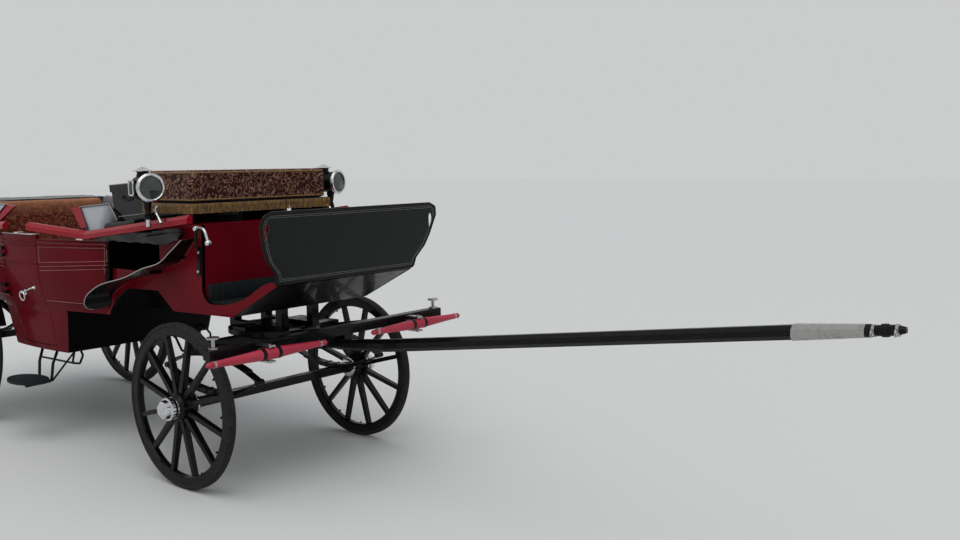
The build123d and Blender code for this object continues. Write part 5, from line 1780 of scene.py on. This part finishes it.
@dataclass
class DraughtGear(Assembly):
    """Trim of the swingletrees and the pole: collars, trace bands, and the pole's rings and leathers."""

    tree: Point = (3174.0, 530.0, 772.0)
    tree_collar: Point = (322.0, 0.0172, 0.007)
    tree_band: Point = (46.0, 0.03, 0.011)
    band_round: float = 0.003
    pole_start: Flat = (5820.0, 1064.0)
    pole_end: Flat = (5960.0, 1080.0)
    collar_rings: tuple[Flat, ...] = ((-0.006, 0.019), (-0.005, 0.0225), (0.005, 0.0225), (0.006, 0.019))
    wrap_rings: tuple[Flat, ...] = ((-0.013, 0.020), (-0.012, 0.0235), (0.0, 0.0245), (0.012, 0.0235),
                                    (0.013, 0.020))
    wrap_shares: Flat = (0.06, 0.48)
    collar_shares: Flat = (0.2, 0.78)
    loop_radius: float = 0.013
    loop_from_axis: Flat = (0.031, -0.006)
    ring_bar: float = 0.0026

    def build(self) -> None:
        """Make and dress the trim."""
        looks = self.looks
        x, y, z = self.tree
        for side in Side:
            body = f"swingletree_{side.name.lower()}"
            middle = self.coach.at(x, side.value * y, z)
            for part, (offset, radius, half), finish, slot in (
                    ("collars", self.tree_collar, looks.steel, "bright_steel"),
                    ("bands", self.tree_band, looks.black, "black_enamel")):
                pieces = [self.band(middle, way * offset, radius, half) for way in (-1, 1)]
                dress(join(f"{body}_{part}", pieces), finish, slot, body)
        dress(join("pole_rings", self.rings()), looks.steel, "bright_steel", Body.FORE)
        leathers = [self.on_pole("pole_wrap", self.wrap_rings, share, 32) for share in self.wrap_shares]
        dress(join("pole_leathers", leathers), looks.strap, "patent_leather", Body.FORE)

    def band(self, middle: Point, offset: float, radius: float, half: float) -> Piece:
        """Return a band round a swingletree, offset along it in millimetres."""
        centre = (middle[0], middle[1] + offset * MM, middle[2])
        edge = radius - self.band_round
        stations = [(-half, edge), (-half + MM, radius), (half - MM, radius), (half, edge)]
        return turned("band", stations, centre, LEFTWARDS, 36)

    def along_pole(self, share: float) -> Vector:
        """Return a point of the pole head's axis."""
        (x0, z0), (x1, z1) = self.pole_start, self.pole_end
        return Vector(self.coach.at(x0 + (x1 - x0) * share, 0.0, z0 + (z1 - z0) * share))

    def on_pole(self, name: str, stations: Sequence[Flat], share: float, segments: int) -> Piece:
        """Turn a piece about the pole head's axis, at a share of its length."""
        ahead = (self.along_pole(1.0) - self.along_pole(0.0)).normalized()
        return turned(name, stations, self.along_pole(share), ahead, segments)

    def rings(self) -> list[Piece]:
        """Return the two collars of the pole head and the small rings that hang from them."""
        pieces = []
        out, up = self.loop_from_axis
        for share in self.collar_shares:
            pieces.append(self.on_pole("pole_collar", self.collar_rings, share, 36))
            for side in Side:
                spot = self.along_pole(share) + Vector((0.0, side.value * out, up))
                loop = [spot + Vector((0.0, math.cos(a), math.sin(a))) * self.loop_radius for a in around(12)]
                pieces.append(bar("pole_ring", loop, self.ring_bar, closed=True, sides=2, steps=3))
        return pieces


# The studio


@dataclass
class Studio(Assembly):
    """The floor, the lights and the camera at the photograph's viewpoint, in metres and degrees."""

    eye: Point = (6.871, -3.464, 1.670)
    yaw: float = 128.98
    pitch: float = -6.26
    roll: float = -0.91
    focal_px: float = 961.0
    image_px: float = 960.0
    sensor: float = 36.0
    backdrop: str = "cbcccc"
    floor_size: float = 160.0
    lit_spot: Point = (0.0, 0.0, 0.6)
    sun_place: Point = (1.5, -2.5, 6.0)
    sun_energy: float = 1.0
    sun_angle: float = 60.0
    front_place: Point = (7.5, -6.0, 4.5)
    front_size: float = 4.0
    front_energy: float = 40.0

    def build(self) -> None:
        """Set up everything around the carriage."""
        self.set_floor()
        self.set_surround()
        self.set_lamps()
        self.set_camera()

    def set_floor(self) -> None:
        """Lay a pale floor that fades into the backdrop."""
        clear_selection()
        bpy.ops.mesh.primitive_plane_add(size=self.floor_size, location=(0.0, 0.0, 0.0))
        floor = take("floor")
        floor.data.materials.append(self.looks.floor)

    def set_surround(self) -> None:
        """Light from all round, darkest at the horizon, behind a plain backdrop for what is seen directly."""
        world = bpy.data.worlds.new("surround")
        bpy.context.scene.world = world
        world.use_nodes = True
        shades = Shades(world.node_tree)
        sky = world.node_tree.nodes["Background"]
        height = shades.parts(shades.node("TexCoord").outputs["Generated"])["Z"]
        glow = shades.ramp(shades.span(height, -0.1, 0.9), (0.0, "8a8c8e"), (0.16, "5d6264"), (0.4, "8f9698"),
                           (1.0, "f4f7fa"))
        path = shades.node("LightPath").outputs
        shown = path["Is Camera Ray"]
        for kind in ("Is Glossy Ray", "Is Transmission Ray"):
            shown = shades.sum("MAXIMUM", shown, path[kind])
        seen = shades.blend(shown, glow, linear(self.backdrop))
        world.node_tree.links.new(seen, sky.inputs["Color"])
        sky.inputs["Strength"].default_value = 1.0

    def set_lamps(self) -> None:
        """Hang a broad soft light overhead and a side light in front."""
        sun = bpy.data.lights.new("high soft light", "SUN")
        sun.energy = self.sun_energy
        sun.angle = math.radians(self.sun_angle)
        front = bpy.data.lights.new("front light", "AREA")
        front.size = self.front_size
        front.energy = self.front_energy
        for lamp, place in ((sun, self.sun_place), (front, self.front_place)):
            holder = linked(lamp.name, lamp)
            holder.location = place
            aim = Vector(self.lit_spot) - Vector(place)
            holder.rotation_euler = aim.to_track_quat("-Z", "Y").to_euler()

    def set_camera(self) -> None:
        """Stand the camera where the photograph was taken."""
        camera = bpy.data.cameras.new("camera")
        camera.sensor_width = self.sensor
        camera.lens = self.focal_px / self.image_px * self.sensor
        camera.clip_end = 500.0
        holder = linked("camera", camera)
        yaw, pitch, roll = (math.radians(a) for a in (self.yaw, self.pitch, self.roll))
        ahead = Vector((math.cos(yaw) * math.cos(pitch), math.sin(yaw) * math.cos(pitch), math.sin(pitch)))
        level = ahead.cross(Vector(UPWARDS)).normalized()
        right = level * math.cos(roll) + level.cross(ahead) * math.sin(roll)
        turn = Matrix((right, right.cross(ahead), -ahead)).transposed()
        holder.matrix_world = Matrix.Translation(self.stand()) @ turn.to_4x4()
        scene = bpy.context.scene
        scene.camera = holder
        scene.view_settings.view_transform = "Standard"

    def stand(self) -> Point:
        """Return the camera's place, whose X is measured from the rear axle."""
        x, y, z = self.eye
        return (self.coach.rear_axle_x + x, y, z)


def main() -> None:
    """Build the dressed carriage."""
    logging.basicConfig(level=logging.INFO, format="%(name)s %(relativeCreated)d: %(message)s")
    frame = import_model()
    low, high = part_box("axle_rear")
    rear_axle_x = (low[0] + high[0]) / 2
    coach = Coach(frame, Finishes(rear_axle_x + BODY_MIDDLE * MM), rear_axle_x)
    coach.paint_nodes()
    for part in (Upholstery, SeatFall, FoldedHead, CoachLamps, HandBrake, Dash, Fenders, BodyTrim,
                 DoorHandles, LockerTrim, WheelTrim, Mats, DraughtGear, Studio):
        part(coach).build()


if __name__ == "__main__":
    main()
